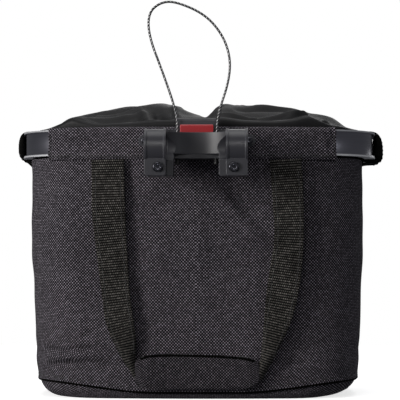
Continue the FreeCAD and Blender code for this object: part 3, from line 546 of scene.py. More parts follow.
def braid_material(name, dark, light):
    """Small braided cord."""
    g = Graph(name, Roughness=0.65, Sheen_Weight=0.2)
    voronoi = g.add("ShaderNodeTexVoronoi", g.place(), None, 1400.0)
    return g.finish(Base_Color=g.mix(voronoi, dark, light), Normal=g.bump(voronoi, 0.15 * MM, 0.7))


def floor_material():
    """A floor with some light of its own, so that it stays white round a soft shadow."""
    g = Graph("studio_floor", Roughness=0.9, Specular_IOR_Level=0.1,
              Emission_Color=(1, 1, 1, 1), Emission_Strength=0.7)
    cloud = g.noise(3.0, 2.0, 0.5)
    return g.finish(Base_Color=g.mix(cloud, (0.90, 0.90, 0.90, 1), (0.93, 0.93, 0.93, 1)))


BODY_CLOTH = heather_cloth("body_cloth_finish", linear(2, 2, 3), linear(174, 167, 178))
# painted shade: the grip wears a darker copy of the body cloth
SHADED_GRIP_CLOTH = heather_cloth("grip_cloth_finish", linear(1, 1, 2), linear(142, 136, 145))
WEBBING = webbing_material("webbing_finish", linear(1, 1, 1), linear(144, 140, 135))
WEBBING_DARK = webbing_material("piping_finish", linear(2, 2, 2), linear(44, 43, 40), 1.2 * MM)
NYLON = nylon_material("cover_nylon_finish", linear(29, 29, 30), 0.03, 0.46)
LINING = nylon_material("lining_finish", linear(52, 52, 56), 0.2, 0.65)
BOARD = plastic_material("board_finish", linear(34, 34, 36), 0.6, 0.8)
PLASTIC = plastic_material("bracket_plastic_finish", linear(46, 46, 51), 0.36)
ADAPTER_PLASTIC = plastic_material("adapter_plastic_finish", linear(42, 42, 47), 0.45)
RED = plastic_material("red_plastic_finish", linear(150, 10, 22), 0.32, 0.2, 0.4)
RIM_METAL = rim_material("rim_metal_finish")
STEEL = metal_material("steel_finish", linear(190, 190, 192))
# painted highlight: the screw heads' edges are painted nine times lighter, a bright ring
BLACK_SCREW = metal_material("black_screw_finish", linear(82, 82, 88), 0.22, edge_highlight=9.0)
THREAD = thread_material("thread_finish", linear(30, 29, 31))
CORD = braid_material("drawcord_finish", linear(20, 20, 21), linear(62, 62, 64))
CABLE_DARK = plastic_material("cable_dark_finish", linear(8, 8, 9), 0.4, 0.2)
CABLE_BRIGHT = metal_material("cable_bright_finish", linear(188, 188, 190), 0.36)


def dress(obj, material, body, replaces=()):
    """Gives a new piece its material and its body (None leaves it without one), and hides the CAD nodes it
    stands for.
    """
    obj.data.materials.append(material)
    if body:
        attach(obj, body)
    if replaces:
        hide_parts(*replaces)
    return obj


# ---- the bag ----
def seam_height(x):
    """The base seam hangs lower along the back and the front than at the ends."""
    return SEAM_LOW + SEAM_RISE * smooth((np.abs(x) - 0.040) / 0.110)


def bag_outline(z, inset=0.0):
    """The bag's outline, before its wrinkles, with a height for each of its columns (the last axis of z)."""
    plan, _ = outline(BAG_HALF, BODY_ARCS, z.shape[-1], inset)
    sides = np.array(BAG_SIDES) * MM
    left, right = through(sides[:, :2], z), through(sides[:, ::2], z)
    deep = through(np.array(BAG_DEPTHS) * MM, z)
    x = (left + right) / 2 + plan[:, 0] * (right - left) / 2 / BAG_HALF[0]
    return np.stack([x, plan[:, 1] * deep / BAG_HALF[1]], -1)


WALL_FOLDS = (  # start and end as X and height, width and depth, mm
    ((-146, 46), (-122, 43), 2.4, -4.4), ((-124, 44), (-96, 47), 2.4, -4.4),
    ((-140, 30), (-104, 34), 2.4, -4.2), ((-106, 34), (-72, 29), 2.4, -4.6),
    ((-138, 38), (-90, 41), 4.5, 3.4), ((-120, 50), (-80, 53), 4, 2.4), ((-74, 30), (-58, 38), 3, -2.6),
    ((-56, 46), (-53, 14), 2.2, -2.2), ((66, 30), (110, 36), 3, -2.6), ((78, 44), (128, 52), 4, -2.0),
    ((4, 222), (50, 168), 6, -5.0), ((34, 196), (84, 126), 9, -4.2), ((22, 222), (58, 186), 6, 2.4),
    ((0, 190), (4, 80), 10, 1.8), ((20, 195), (110, 150), 10, -1.0), ((-30, 195), (-60, 120), 12, -0.9),
    ((95, 60), (145, 85), 9, 1.0),
)


def wall_relief(x, z, back):
    """How far the wall's cloth stands in or out: soft dents, and folds where it is pulled."""
    swell = 0.9 * ripple(x, z, 0.120, 3) + 0.45 * ripple(x, z, 0.045, 5)
    low = smooth((0.075 - z) / 0.06)
    swell += 0.8 * low * ripple(x * 0.6, z * 2.2, 0.035, 11)
    pulled = creases(x, z, WALL_FOLDS)
    mirrored = pulled[..., ::-1]  # the front has the same folds the other way round, and weaker
    return (swell + np.where(back, pulled, 0.6 * mirrored)) * MM


def body_wall():
    """The woven wall from the base seam up into the rim's sleeves."""
    rows, cols = 150, 560
    seam = seam_height(bag_outline(np.full(cols, SEAM_LOW))[:, 0])
    rise = np.linspace(0, 1, rows)[:, None]
    z = seam + (BODY_TOP_Z + 1.5 * MM - seam) * rise
    grid = raised(bag_outline(z), z)
    out = grid_normals(grid, True)
    calm = smooth((BODY_TOP_Z - z) / 0.02) * smooth((z - seam) / 0.012)
    relief = wall_relief(grid[..., 0], z, grid[..., 1] < 0) * calm
    roll = 0.8 * MM * np.exp(-((z - seam) / 0.0025) ** 2)
    grid = grid + out * (relief + roll)[..., None]
    wall = shell("body_cloth_wall", grid, 2.4 * MM, True)
    dress(wall, BODY_CLOTH, "basket", ["body_shell"])


def base_cloth():
    """The bag's bottom: rounded more at the ends than along the back, flat where it stands."""
    cols, bends, flats = 480, 16, 22
    seam = seam_height(bag_outline(np.full(cols, SEAM_LOW))[:, 0]) + 1.2 * MM
    rim = bag_outline(seam, 1.5 * MM)
    out = ring_normals(rim)
    ends = smooth((np.abs(rim[:, 0]) - 0.085) / 0.065)
    reach = 0.0085 + ends * np.where(rim[:, 0] > 0, 0.023, 0.0125)
    rings = []
    for angle in np.linspace(0, math.pi / 2, bends):
        inward = reach * (1 - math.cos(angle))
        rings.append(raised(rim - out * inward[:, None], seam * (1 - math.sin(angle))))
    for share in np.linspace(0.96, 0.04, flats):
        rings.append(rings[bends - 1] * [share, share, 1])
    grid = np.array(rings)
    bend = 0.35 * MM * ripple(grid[..., 0], grid[..., 1], 0.05, 21)
    lift = np.where(np.arange(len(rings))[:, None] >= bends, 0.15 * MM + np.abs(bend) * 0.5, 0)
    grid[..., 2] += lift
    base = shell("base_cloth", grid[::-1], 2.0 * MM, True)
    dress(base, BODY_CLOTH, "basket", ["base_panel"])
    cap = new_object("base_centre_patch", *disc_parts(grid[-1].mean(0), grid[-1]))
    dress(cap, BODY_CLOTH, "basket")


def disc_parts(middle, ring):
    """A small fan that closes a ring, two-sided by a second layer just above."""
    count = len(ring)
    lower = np.concatenate([ring, [middle]])
    verts = np.concatenate([lower, lower + [0, 0, 1.5 * MM]])
    low = [[(k + 1) % count, k, count] for k in range(count)]
    high = [[count + 1 + k, count + 1 + (k + 1) % count, 2 * count + 1] for k in range(count)]
    sides = [[k, (k + 1) % count, count + 1 + (k + 1) % count, count + 1 + k] for k in range(count)]
    faces = low + high + sides
    corners = [verts[i][:2] for face in faces for i in face]
    return verts, faces, corners


def base_piping():
    """The corded seam between wall and base, and its row of stitches."""
    height = seam_height(bag_outline(np.full(480, SEAM_LOW))[:, 0])
    plan = bag_outline(height, 0.3 * MM)
    out = ring_normals(plan)
    path = raised(plan, height)
    cord = tubes("base_piping", [path - [0, 0, 0.6 * MM]], 1.25 * MM, 10, True)
    dress(cord, WEBBING_DARK, "basket")
    line = np.concatenate([path, path[:1]])
    outward = level(np.concatenate([out, out[:1]]))
    sewn_line = line + [0, 0, 3.4 * MM] + outward * 0.5 * MM
    stitches("base_seam", [(sewn_line, outward)], "basket", 0.35 * MM)


# ---- sleeves over the rim ----
SLEEVE_SECTION = (  # inset from the rim's outside and height, hem first, mm
    (0.2, 219.3), (-1.1, 220.4), (-1.6, 223.0), (-1.4, 229.0), (-1.0, 236.0), (-1.4, 243.0), (-1.5, 246.4),
    (-0.6, 248.8), (1.6, 249.9), (5.0, 250.1), (8.6, 249.9), (10.8, 248.6), (11.7, 246.0), (11.9, 240.0),
    (11.9, 232.0), (11.6, 226.0), (9.5, 222.6), (5.0, 221.6),
)


def rim_line(x_from, x_to, count, back):
    """The rim's outside between two places along X, on its back or its front, with outward normals."""
    points, normals = outline(RIM_HALF, RIM_ARCS, 2400)
    side = points[:, 1] < 0 if back else points[:, 1] > 0
    chosen = side & (points[:, 0] >= x_from) & (points[:, 0] <= x_to)
    order = np.argsort(points[chosen][:, 0])
    line = resample(np.concatenate([points[chosen], normals[chosen]], 1)[order], count)
    return line[:, :2], unit(line[:, 2:])


def rim_sleeve(name, back):
    """The wall's cloth turned over the rim and sewn down along its lower edge, hemmed at both ends."""
    node = "rim_sleeve_back" if back else "rim_sleeve_front"
    low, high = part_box(node)
    count = 360
    line, out = rim_line(low.x, high.x, count, back)
    section = resample(np.array(SLEEVE_SECTION) * MM, 64)
    arc = np.linspace(0, distances(line)[-1], count)
    inset = section[:, 0][:, None]
    height = np.broadcast_to(section[:, 1][:, None], (len(section), count))
    face = np.exp(-((height - 0.236) / 0.010) ** 2)
    outer = (inset < 5 * MM).astype(float)
    wave = 0.45 * MM * ripple(arc[None, :], height * 1.3, 0.045, 31 if back else 37) * (0.4 + face) * outer
    wave += 0.25 * MM * ripple(arc[None, :], height, 0.016, 33) * outer
    end = np.minimum(arc, arc[-1] - arc)[None, :]
    hem = 0.55 * MM * (1 - smooth((end - 7 * MM) / (1.5 * MM)))
    tuck = 0.5 * MM * (1 - smooth(end / (1.2 * MM)))
    offset = -inset + wave + np.where(inset < 5 * MM, hem - tuck, 0)
    xy = line[None] + out[None] * offset[..., None]
    z = height + np.where(height > 0.2485, wave * 0.6 + hem * 0.5, 0)
    grid = raised(xy, z)
    if not back:
        grid = grid[:, ::-1]
    sleeve = shell(name, grid, CLOTH)
    dress(sleeve, BODY_CLOTH, "basket", [node])
    outward = level(out)
    rows = []
    for height_mm, lift in ((222.6, 1.75), (224.4, 1.8)):
        spot = raised(line + out * lift * MM, np.full(count, height_mm * MM))
        rows.append((spot[6:-6], outward[6:-6]))
    for index in (12, count - 13):
        column = np.linspace(0.2245, 0.2465, 20)
        spot = raised(np.tile(line[index] + out[index] * 2.0 * MM, (20, 1)), column)
        rows.append((spot, np.tile(outward[index], (20, 1))))
    stitches(name, rows, "basket", 0.3 * MM)


# ---- webbing ----
def strap(name, centre, across, outward, widths, thickness, curl=0.0, worn=0.45, seed=None):
    """A woven strap along centre, its edges rounded and curled back by curl, with slack folds if seeded."""
    rows = len(centre)
    cols = 25
    s = np.linspace(-1, 1, cols)
    widths = np.broadcast_to(np.asarray(widths, float), (rows,))
    curl = np.broadcast_to(np.asarray(curl, float), (rows,))
    thin = 1 - worn * np.abs(s) ** 8
    back = curl[:, None] * np.abs(s)[None, :] ** 2.6
    grid = (centre[:, None] + across[:, None] * (s[None, :] * widths[:, None] / 2)[..., None]
            - outward[:, None] * back[..., None])
    length = distances(centre)
    uv = np.stack(np.meshgrid(s * widths.max() / 2, length), 2)
    if seed is not None:
        slack = np.abs(ripple(uv[..., 0] * 0.7, uv[..., 1], 0.050, seed)) ** 0.7
        grid = grid + outward[:, None] * (1.6 * MM * slack * smooth(length / 0.030)[:, None])[..., None]
    thick = np.broadcast_to(thickness, (rows, 1)) * thin[None, :]
    return shell(name, grid, thick, uv=uv), grid, grid_normals(grid)


def strap_edges(grid, normals, rows, columns):
    """Lines for stitches down a strap, just above its face, with their outward directions."""
    return [(grid[rows, k] + normals[rows, k] * 0.05 * MM, normals[rows, k]) for k in columns]


LEG_EDGES = {  # height, outer edge and inner edge of each handle leg, mm
    "left": ((219.8, 97.2, 67.0), (164, 95.6, 65.4), (127.5, 91.0, 63.5), (91, 86.4, 60.8), (72, 83.4, 58.0),
             (50, 74.5, 55.3), (37, 68.0, 56.2), (27, 61.5, 54.5), (20, 58.0, 51.0)),
    "right": ((219.8, 95.6, 66.2), (182, 97.3, 69.0), (146, 97.4, 70.4), (109, 94.4, 64.8), (73, 85.5, 60.8),
              (50, 75.4, 59.0), (37, 69.5, 57.4), (27, 64.0, 54.5), (20, 60.5, 51.5)),
}
LEG_STAND_OFF = ((20, 127.6), (45, 129.0), (90, 128.6), (150, 127.6), (205, 127.0), (219.8, 126.9))


def handle_leg(name, side, back):
    """One leg of a carrying handle: flat under the sleeve's hem, folding in as it runs into the grip."""
    edges = np.array(LEG_EDGES[side]) * MM
    edges = edges[np.argsort(edges[:, 0])]
    z = np.linspace(edges[-1, 0], edges[0, 0], 130)
    outer = through(edges[:, [0, 1]], z)
    inner = through(edges[:, [0, 2]], z)
    left = side == "left"
    sign = -1.0 if left else 1.0
    facing = -1.0 if back else 1.0
    y = facing * through(np.array(LEG_STAND_OFF) * MM, z)
    centre = np.stack([sign * (outer + inner) / 2, y, z], 1)
    direction = unit(np.gradient(centre, axis=0))
    outward = np.tile([0.0, facing, 0.0], (len(z), 1))
    across = unit(np.cross(direction, outward))
    widths = (outer - inner) * np.abs(direction[:, 2]) ** 0.3
    curl = 0.3 * MM + 5.0 * MM * smooth((0.075 - z) / 0.05)
    tilt = 1.3 * MM * ripple(z, z * 0, 0.11, 41 if left else 43)
    centre = centre + outward * (0.4 * MM * ripple(z, z * 0, 0.05, 47))[:, None]
    twist = np.clip(tilt / 0.015, -0.12, 0.12)
    across = across * np.cos(twist)[:, None] + outward * np.sin(twist)[:, None]
    seed = 61 if left else 67
    leg, grid, normals = strap(name, centre, across, outward, widths, 1.5 * MM, curl, seed=seed)
    dress(leg, WEBBING, None)
    rows = strap_edges(grid, normals, slice(8, 118), (3, 21))
    thread = stitches(name, rows, None, 0.3 * MM, 2.4 * MM, 1.1 * MM, 0.26 * MM)
    for piece in (leg, thread):
        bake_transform(piece)
    return leg


def handle_grip(name, node, back, body):
    """The padded grip: a cloth sleeve sewn round the folded webbing, flattened against the bag."""
    low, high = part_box(node)
    rows, cols = 90, 64
    half = (high.x - low.x) / 2 + 2 * MM
    centre_x = (high.x + low.x) / 2
    centre_y, centre_z = (low.y + high.y) / 2, (low.z + high.z) / 2
    deep, tall = (high.y - low.y) / 2 + 0.6 * MM, (high.z - low.z) / 2
    share = np.linspace(-1, 1, rows)
    facing = -1.0 if back else 1.0
    taper = (1 - np.abs(share) ** 9 * 0.72) ** 0.5
    turn = np.linspace(0, math.tau, cols, endpoint=False)
    cs, sn = np.cos(turn), np.sin(turn)
    flat_y = np.sign(cs) * np.abs(cs) ** 0.75
    flat_z = np.sign(sn) * np.abs(sn) ** 0.7
    x = centre_x + half * share[:, None] + 0 * turn[None]
    crown = 1 - 0.07 * np.abs(share) ** 3
    y = centre_y + deep * taper[:, None] * flat_y[None]
    slump = 1 - 0.10 * (1 + facing * -share[:, None]) * (flat_z[None] > 0)
    z = centre_z + tall * (crown * taper)[:, None] * flat_z[None] * slump - 0.0012 * (share[:, None] ** 2)
    pucker = 0.35 * MM * ripple(x * 1.6, z, 0.020, 51) + 0.25 * MM * ripple(x * 3, z, 0.012, 53)
    grid = np.stack([x, y + np.sign(cs)[None] * pucker, z], 2)
    grip = shell(name, grid, 1.0 * MM, True)
    dress(grip, SHADED_GRIP_CLOTH, body, [node])
    # painted shade: a dark cord along the grip's top edge stands in for the shadow line there
    shoulder = round((math.pi / 2 - facing * 0.5) / math.tau * cols)
    shadow_cord = tubes(name + "_binding", [grid[4:-4, shoulder]], 1.35 * MM, 8)
    dress(shadow_cord, WEBBING_DARK, body)
    rows = []
    along = np.linspace(-0.9, 0.9, 60)
    for up in (-0.80, 0.80):
        line_z = centre_z + tall * up * (1 - 0.07 * np.abs(along) ** 3)
        depth = deep * (1 - abs(up) ** (1 / 0.7 * 1.35)) ** 0.5
        line = np.stack([centre_x + half * along, np.full(len(along), centre_y + facing * depth), line_z], 1)
        rows.append((line, np.tile([0, facing, 0.0], (len(along), 1))))
    stitches(name, rows, body, 0.5 * MM)


END_LOOP_PATHS = {  # the webbing's outer face: distance from the middle, height, mm
    "left": ((155.0, 209.0), (158.6, 214.6), (164.6, 220.6), (170.6, 224.0), (173.2, 229.0), (173.6, 236.0),
             (173.0, 243.0), (170.6, 248.8), (165.0, 251.2), (158.5, 250.6), (155.4, 247.0), (154.6, 239.0),
             (154.8, 228.0), (155.6, 221.0)),
    "right": ((154.6, 214.0), (156.0, 218.6), (161.0, 220.4), (168.0, 220.6), (173.8, 221.4), (175.6, 226.0),
              (175.6, 236.0), (174.4, 243.0), (171.0, 248.8), (165.0, 251.0), (158.5, 250.4), (155.4, 247.0),
              (154.6, 239.0), (154.8, 228.0), (155.6, 221.0)),
}


def end_loop(name, node, side):
    """Doubled webbing sewn to the bag's end, passed tightly round the bare rim and tucked inside it."""
    sign = -1.0 if side == "left" else 1.0
    path = smooth_line(np.array(END_LOOP_PATHS[side]) * MM, 110)
    centre = np.stack([sign * path[:, 0], np.zeros(len(path)), path[:, 1]], 1)
    tangent = unit(np.gradient(centre, axis=0))
    across = np.tile([0.0, 1.0, 0.0], (len(path), 1))
    outward = np.cross(tangent, across) * -sign
    outside = path[:, 0] - RIM_HALF[0]
    fill = np.where(np.abs(path[:, 1] - 0.236) < 0.0135, np.maximum(outside + 0.9 * MM, 0), 0)
    under = (path[:, 1] < 0.2235) & (path[:, 0] > 0.1595)
    fill = np.where(under, np.maximum(0.2236 - path[:, 1], fill), fill)
    thick = np.maximum(1.8 * MM, np.convolve(fill, np.ones(7) / 7, "same"))
    piece, grid, normals = strap(name, centre, across * sign, outward, 0.060, thick[:, None], 0.0, 0.06)
    dress(piece, WEBBING_DARK, "basket", [node])
    rows = strap_edges(grid, normals, slice(20, 60), (2, 22))
    stitches(name, rows, "basket", 0.3 * MM)


# ---- the gathered cover ----
CREST = (  # the cover's highest line from end to end, mm
    (-159, 249.5), (-148, 255.5), (-132, 259.8), (-117, 264.4), (-100, 267.2), (-80, 270.0), (-60, 272.4),
    (-42, 274.8), (-26, 274.2), (-15.5, 272.2), (-8, 267.8), (-0.5, 263.6), (7.5, 261.8), (11.5, 266.0),
    (16, 271.2), (21, 274.2), (36, 275.2), (54, 273.8), (78, 269.6), (95, 267.4), (110, 266.2), (124, 264.0),
    (140, 261.6), (151, 258.2), (159, 252.2),
)
LIP = (  # the low edge that the cloth rolls over, from end to end, mm
    (-159, 249.6), (-145, 250.2), (-128, 254.6), (-114, 259.4), (-107, 257.0), (-97, 254.4), (-70, 254.2),
    (-44, 255.2), (-25, 256.6), (0, 258.2), (22, 258.6), (46, 256.4), (68, 255.6), (88, 257.6), (103, 260.2),
    (111, 257.6), (120, 254.2), (136, 252.0), (150, 249.8), (159, 249.2),
)
COVER_FOLDS = (  # start and end in plan, width and height, mm
    ((-38, -84), (-29, -107), 5, -8.0), ((-54, -80), (-45, -104), 5, 3.6), ((-22, -66), (-17, -104), 4, 3.4),
    ((-108, -96), (-52, -88), 4, 4.0), ((-104, -106), (-50, -101), 3, -4.2),
    ((-96, -80), (-62, -70), 4, -3.6),
    ((22, -90), (52, -98), 3, 4.4), ((52, -98), (104, -84), 3, 4.4), ((24, -100), (58, -105), 3, -4.6),
    ((62, -105), (100, -94), 3, -4.6), ((98, -84), (120, -98), 3, 4.6), ((108, -78), (130, -92), 3, -4.0),
    ((38, -78), (84, -70), 4, -4.0), ((56, -66), (100, -62), 4, 3.0), ((84, -94), (112, -76), 2.5, 3.4),
    ((44, 70), (96, 88), 8, 2.4), ((-44, 66), (-92, 92), 9, 2.6), ((-124, -72), (-104, -52), 6, -2.6),
    ((-88, -60), (-52, -48), 6, 2.2),
    ((-50, 50), (-30, 100), 7, -4.0), ((0, 60), (6, 104), 8, -3.0), ((60, 44), (104, 60), 8, -2.4),
    ((-116, -30), (-66, -12), 10, 2.6), ((-116, 10), (-70, 24), 9, -2.6), ((112, -20), (66, -10), 9, 2.4),
)
# The cover's cut is an early estimate, not a measure. The built cover is 0.929 m round and 0.131 to 0.175 m
# deep, which as a tube is 0.148 square metres: its gathers are too shallow for that much cloth.
MOUTH_HALF = (0.0190, 0.0125)
MOUTH_ARCS = (0.009, 0.026, 0.048)
MOUTH_TOP_Z = 0.2630


def cover_cloth():
    """Thin cloth from inside the rim over a low lip, swelling into two lobes and gathered to its mouth."""
    cols, wall_rows, top_rows = 720, 22, 130
    edge, out = outline(RIM_HALF, RIM_ARCS, cols, 14.0 * MM)
    mouth, _ = outline(MOUTH_HALF, MOUTH_ARCS, cols)
    mouth = mouth + [MOUTH_CENTRE_X, 0.0]
    around = np.arange(cols) / cols * math.tau
    nearness = smooth((np.abs(edge[:, 1]) - 0.055) / 0.045)
    lip = (250.0 * (1 - nearness) + nearness * through(np.array(LIP), edge[:, 0] / MM)) * MM
    lip += 0.5 * MM * ripple(edge[:, 0], edge[:, 1], 0.040, 71) * nearness
    grid = []
    base_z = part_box("drawstring_cover")[0].z
    for t in np.linspace(0, 1, wall_rows):
        lean = (3.4 * smooth(t / 0.6) - 3.0 * smooth((t - 0.62) / 0.38)) * MM * nearness
        z = base_z + (lip - base_z) * math.sin(t * math.pi / 2)
        grid.append(raised(edge + out * lean[:, None], z))
    start = grid[-1][:, :2]
    pleats = pleat_wave(around)
    folds = broad_folds(around)
    for t in np.linspace(0, 1, top_rows + 1)[1:]:
        share = t ** 0.93
        xy = start + (mouth - start) * share
        inset = np.linalg.norm(xy - start, axis=1)
        left = np.linalg.norm(xy - mouth, axis=1)
        crest = through(np.array(CREST) * MM, xy[:, 0])
        swell = smooth((inset - 3 * MM) / (0.026 + 0.024 * nearness)) * 0.94 + 0.06 * smooth(inset / 0.10)
        roll = np.exp(-((inset - 2 * MM) / (5 * MM)) ** 2) * 0.8 * MM
        roll -= np.exp(-((inset - 14 * MM) / (8 * MM)) ** 2) * 1.2 * MM
        z = lip + (np.maximum(crest, lip + 1 * MM) - lip) * swell + roll * nearness
        funnel = smooth(1 - left / 0.026)
        z = z + (MOUTH_TOP_Z - z) * funnel
        near_mouth = np.exp(-(left / 0.030) ** 1.2)
        spread = np.exp(-(left / 0.075) ** 2) * smooth(inset / 0.02)
        z += 2.2 * MM * pleats * near_mouth * smooth(left / 0.006)
        z += 1.7 * MM * folds * spread * smooth(inset / 0.03)
        x, y = xy.T
        z += 0.55 * MM * ripple(x, y * 1.4, 0.034, 73) * smooth(inset / 0.02) * smooth(left / 0.02)
        grid.append(raised(xy, z + creases(x, y, COVER_FOLDS) * MM))
    inner = grid[-1]
    for depth in (1.5, 3.5, 6.0):
        pulled = inner[:, :2] + (inner[:, :2] - [MOUTH_CENTRE_X, 0]) * (-0.02 * depth)
        grid.append(raised(pulled, inner[:, 2] - depth * MM))
    grid = np.array(grid)
    cover = shell("drawstring_cover_cloth", grid, 0.7 * MM, True)
    dress(cover, NYLON, "basket", ["drawstring_cover"])


def pleat_wave(around):
    """The small gathers round the mouth: uneven in width and depth."""
    drift = 1.8 * np.sin(around * 2 + 0.7) + 0.9 * np.sin(around * 5 + 2.1)
    return (0.75 + 0.25 * np.sin(around * 3 + 1.0)) * np.sin(around * 24 + drift)


def broad_folds(around):
    """Broader folds that the gathers run out into."""
    drift = 1.1 * np.sin(around * 2 + 2.4) + 0.8 * np.sin(around * 3 + 0.3)
    wave = np.sin(around * 9 + drift)
    return np.sign(wave) * np.abs(wave) ** 1.3


def gathered_hem():
    """The drawcord's channel round the mouth, bunched on its cord."""
    cols, sides = 480, 22
    plan, out = outline(MOUTH_HALF, MOUTH_ARCS, cols)
    plan = plan + [MOUTH_CENTRE_X, 0.0]
    around = np.arange(cols) / cols * math.tau
    pleats = pleat_wave(around)
    low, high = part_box("cover_hem")
    middle, tall = (low.z + high.z) / 2, (high.z - low.z) / 2
    bulge = 1 + 0.28 * pleats + 0.08 * np.sin(around * 48)
    rings = []
    for a in np.linspace(0, math.tau, sides, endpoint=False):
        offset = 2.3 * MM * math.cos(a) * bulge
        rings.append(raised(plan + out * offset[:, None], middle + tall * math.sin(a) * (1 + 0.06 * pleats)))
    faces, r, c = quads(sides, cols, True, closed=True)
    uv = np.stack(np.meshgrid(np.arange(cols + 1) * 0.3 * MM, np.arange(sides + 1) * 0.9 * MM), 2)
    hem = close_up(new_object("cover_hem_cloth", np.concatenate(rings), faces, uv[r, c]))
    dress(hem, NYLON, "basket", ["cover_hem"])


# ---- inside the bag ----
def lining():
    """A thin lining that hangs a little slack inside the wall."""
    low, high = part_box("inner_lining")
    cols, rows = 360, 60
    rise = np.linspace(0, 1, rows)[:, None]
    z = low.z + (high.z - low.z) * rise + np.zeros((1, cols))
    xy = bag_outline(z, 7.0 * MM)
    grid = raised(xy, z)
    slack = np.sin(math.pi * rise) * (1.0 * ripple(xy[..., 0] + xy[..., 1], z, 0.05, 81) - 1.0) * MM
    grid = grid + grid_normals(grid, True) * slack[..., None]
    piece = shell("lining_cloth", grid, 0.6 * MM, True)
    dress(piece, LINING, "basket", ["inner_lining"])


# ---- the security cable ----
CABLE_ROUTE = np.array([
    (-17.4, -143.5, 221.0), (-17.4, -143.5, 240.5), (-18.4, -143.9, 262.0), (-30.5, -145.0, 297.0),
    (-43.7, -146.5, 331.5), (-43.8, -147.5, 352.5), (-31.5, -147.8, 362.2), (-17.0, -147.8, 361.6),
    (8.5, -147.0, 350.0), (24.5, -146.0, 330.5), (31.0, -145.0, 309.0), (28.6, -144.3, 287.5),
    (19.8, -143.9, 262.0), (17.4, -143.5, 240.5), (17.4, -143.5, 221.0),
]) * MM
CABLE_RADIUS = 1.1 * MM
STRAND_PITCH = 6.5 * MM
STRANDS = 6


def cable_line():
    """The cable's centreline: points read from one smooth spline through its route."""
    curve = bpy.data.curves.new("cable_route", "CURVE")
    curve.dimensions = "3D"
    curve.resolution_u = 40
    spline = curve.splines.new("NURBS")
    spline.points.add(len(CABLE_ROUTE) - 1)
    for point, place in zip(spline.points, CABLE_ROUTE):
        point.co = (*place, 1.0)
    spline.order_u = 3
    spline.use_endpoint_u = True
    holder = bpy.data.objects.new("cable_route", curve)
    bpy.context.scene.collection.objects.link(holder)
    bpy.context.view_layer.update()
    mesh = bpy.data.meshes.new_from_object(holder)
    points = np.array([v.co for v in mesh.vertices], float)
    bpy.data.objects.remove(holder)
    bpy.data.curves.remove(curve)
    bpy.data.meshes.remove(mesh)
    return resample(points, 900)


def security_cable():
    """A wire rope of six strands, two of them bright, twisted round a core on the centreline."""
    line = cable_line()
    length = distances(line)[-1]
    side, up = frames_along(line)
    turn = np.linspace(0, math.tau * length / STRAND_PITCH, len(line))
    strand_r = 0.40 * MM
    lay_r = CABLE_RADIUS - strand_r
    paths = []
    for strand in range(STRANDS):
        phase = turn + strand * math.tau / STRANDS
        paths.append(line + (side * np.cos(phase)[:, None] + up * np.sin(phase)[:, None]) * lay_r)
    cable = tubes("security_cable_rope", [*paths, line], [strand_r] * STRANDS + [lay_r - 0.15 * MM])
    bright = [k % 3 == 0 for k in range(STRANDS)] + [False]
    shades = np.repeat(bright, len(cable.data.polygons) // len(bright)).astype(np.int32)
    cable.data.materials.append(CABLE_DARK)
    cable.data.materials.append(CABLE_BRIGHT)
    cable.data.polygons.foreach_set("material_index", shades)
    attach(cable, "adapter")
    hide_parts("security_cable")


# ---- CAD pieces that keep their shape ----
CAD_FINISHES = {
    "rim_frame": RIM_METAL, "rim_joiner": STEEL, "rim_rivets": STEEL, "base_board": BOARD,
    "drawstring": CORD, "cord_lock_barrel": PLASTIC, "cord_lock_spring": STEEL, "cord_lock_plunger": PLASTIC,
    "receiver_bracket": PLASTIC, "receiver_screws": BLACK_SCREW, "receiver_backing_bar": STEEL,
    "adapter_body": ADAPTER_PLASTIC, "catch_spring": STEEL, "cable_ferrules": CABLE_DARK,
    "release_button": RED,
}
CLAMP_FINISHES = (  # for the names that start so, on the left and on the right
    ("clamp_strap", PLASTIC), ("clamp_screw", BLACK_SCREW), ("clamp_nut", STEEL), ("clamp_hinge_pin", STEEL),
)


def finish_cad():
    """Procedural finishes for the CAD pieces that no cloth piece stands for."""
    for name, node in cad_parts.items():
        material = CAD_FINISHES.get(name)
        for start, finish in CLAMP_FINISHES:
            if name.startswith(start):
                material = finish
        if material:
            node.data.materials.clear()
            node.data.materials.append(material)


# ---- room, light and camera ----
SURROUND = 0.12  # how bright the surround is to everything but the camera
LAMPS = (  # name, place, size, watts and colour
    ("key", (-1.9, -1.7, 0.50), 0.9, 50, (1.0, 0.98, 0.96)),
    ("fill", (1.7, -1.7, 0.9), 0.9, 3.5, (0.95, 0.97, 1.0)),
    ("front", (-0.30, -2.3, 1.10), 0.5, 7, (1.0, 0.99, 0.98)),
    ("top", (0.0, 0.1, 2.6), 2.0, 22, (1.0, 1.0, 1.0)),
    ("back", (0.6, 2.1, 1.3), 1.6, 10, (1.0, 1.0, 1.0)),
)
LAMP_AIM = (0.0, 0.0, 0.15)
CAMERA_PLACE = (0.045, -2.200, 0.125)
CAMERA_AIM = (0.0, 0.0, 0.186)
LENS, SENSOR = 204.1, 36.0  # millimetres


def aimed(name, data, place, aim):
    """Puts a lamp or the camera in its place, looking at aim."""
    holder = bpy.data.objects.new(name, data)
    holder.location = place
    holder.rotation_euler = (Vector(aim) - Vector(place)).to_track_quat("-Z", "Y").to_euler()
    bpy.context.scene.collection.objects.link(holder)
    return holder


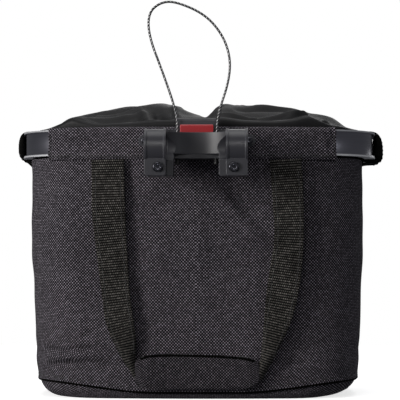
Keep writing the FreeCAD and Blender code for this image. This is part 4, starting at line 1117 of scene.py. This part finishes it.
def studio():
    """A pale floor, a white surround and soft lights: the key from the left, a weak fill from the right."""
    bpy.ops.mesh.primitive_circle_add(vertices=128, radius=1.25, fill_type="NGON")
    floor = bpy.context.object
    floor.name = "studio_floor"
    floor.data.materials.append(floor_material())
    floor.visible_diffuse = False
    floor.visible_glossy = False
    world = bpy.data.worlds.new("studio_world")
    bpy.context.scene.world = world
    world.use_nodes = True
    tree = world.node_tree
    backdrop = tree.nodes["Background"]
    surround = tree.nodes.new("ShaderNodeBackground")
    backdrop.inputs["Color"].default_value = (1.0, 1.0, 1.0, 1.0)
    surround.inputs["Color"].default_value = (0.92, 0.94, 1.0, 1.0)
    surround.inputs["Strength"].default_value = SURROUND
    seen = tree.nodes.new("ShaderNodeLightPath")
    choice = tree.nodes.new("ShaderNodeMixShader")
    tree.links.new(seen.outputs["Is Camera Ray"], choice.inputs[0])
    tree.links.new(surround.outputs[0], choice.inputs[1])
    tree.links.new(backdrop.outputs[0], choice.inputs[2])
    tree.links.new(choice.outputs[0], tree.nodes["World Output"].inputs[0])
    for name, place, spread, power, colour in LAMPS:
        light = bpy.data.lights.new(name, "AREA")
        light.size = spread
        light.energy = power
        light.color = colour
        aimed(name, light, place, LAMP_AIM)


def camera():
    """The photographer's place: straight behind the basket, low, with a long lens."""
    data = bpy.data.cameras.new("camera")
    data.lens = LENS
    data.sensor_width = SENSOR
    data.clip_end = 50.0
    bpy.context.scene.camera = aimed("camera", data, CAMERA_PLACE, CAMERA_AIM)


bpy.context.scene.view_settings.view_transform = "Standard"
camera()
security_cable()
studio()
finish_cad()
body_wall()
base_cloth()
base_piping()
rim_sleeve("rim_sleeve_back_cloth", True)
rim_sleeve("rim_sleeve_front_cloth", False)
end_loop("end_loop_left_webbing", "end_loop_left", "left")
end_loop("end_loop_right_webbing", "end_loop_right", "right")
for back, body in ((True, "back_handle"), (False, "front_handle")):
    legs = [handle_leg(f"{body}_leg_{side}", side, back) for side in ("left", "right")]
    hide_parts(body + "_strap")
    handle_grip(f"{body}_grip_cloth", body + "_grip", back, body)
cover_cloth()
gathered_hem()
lining()
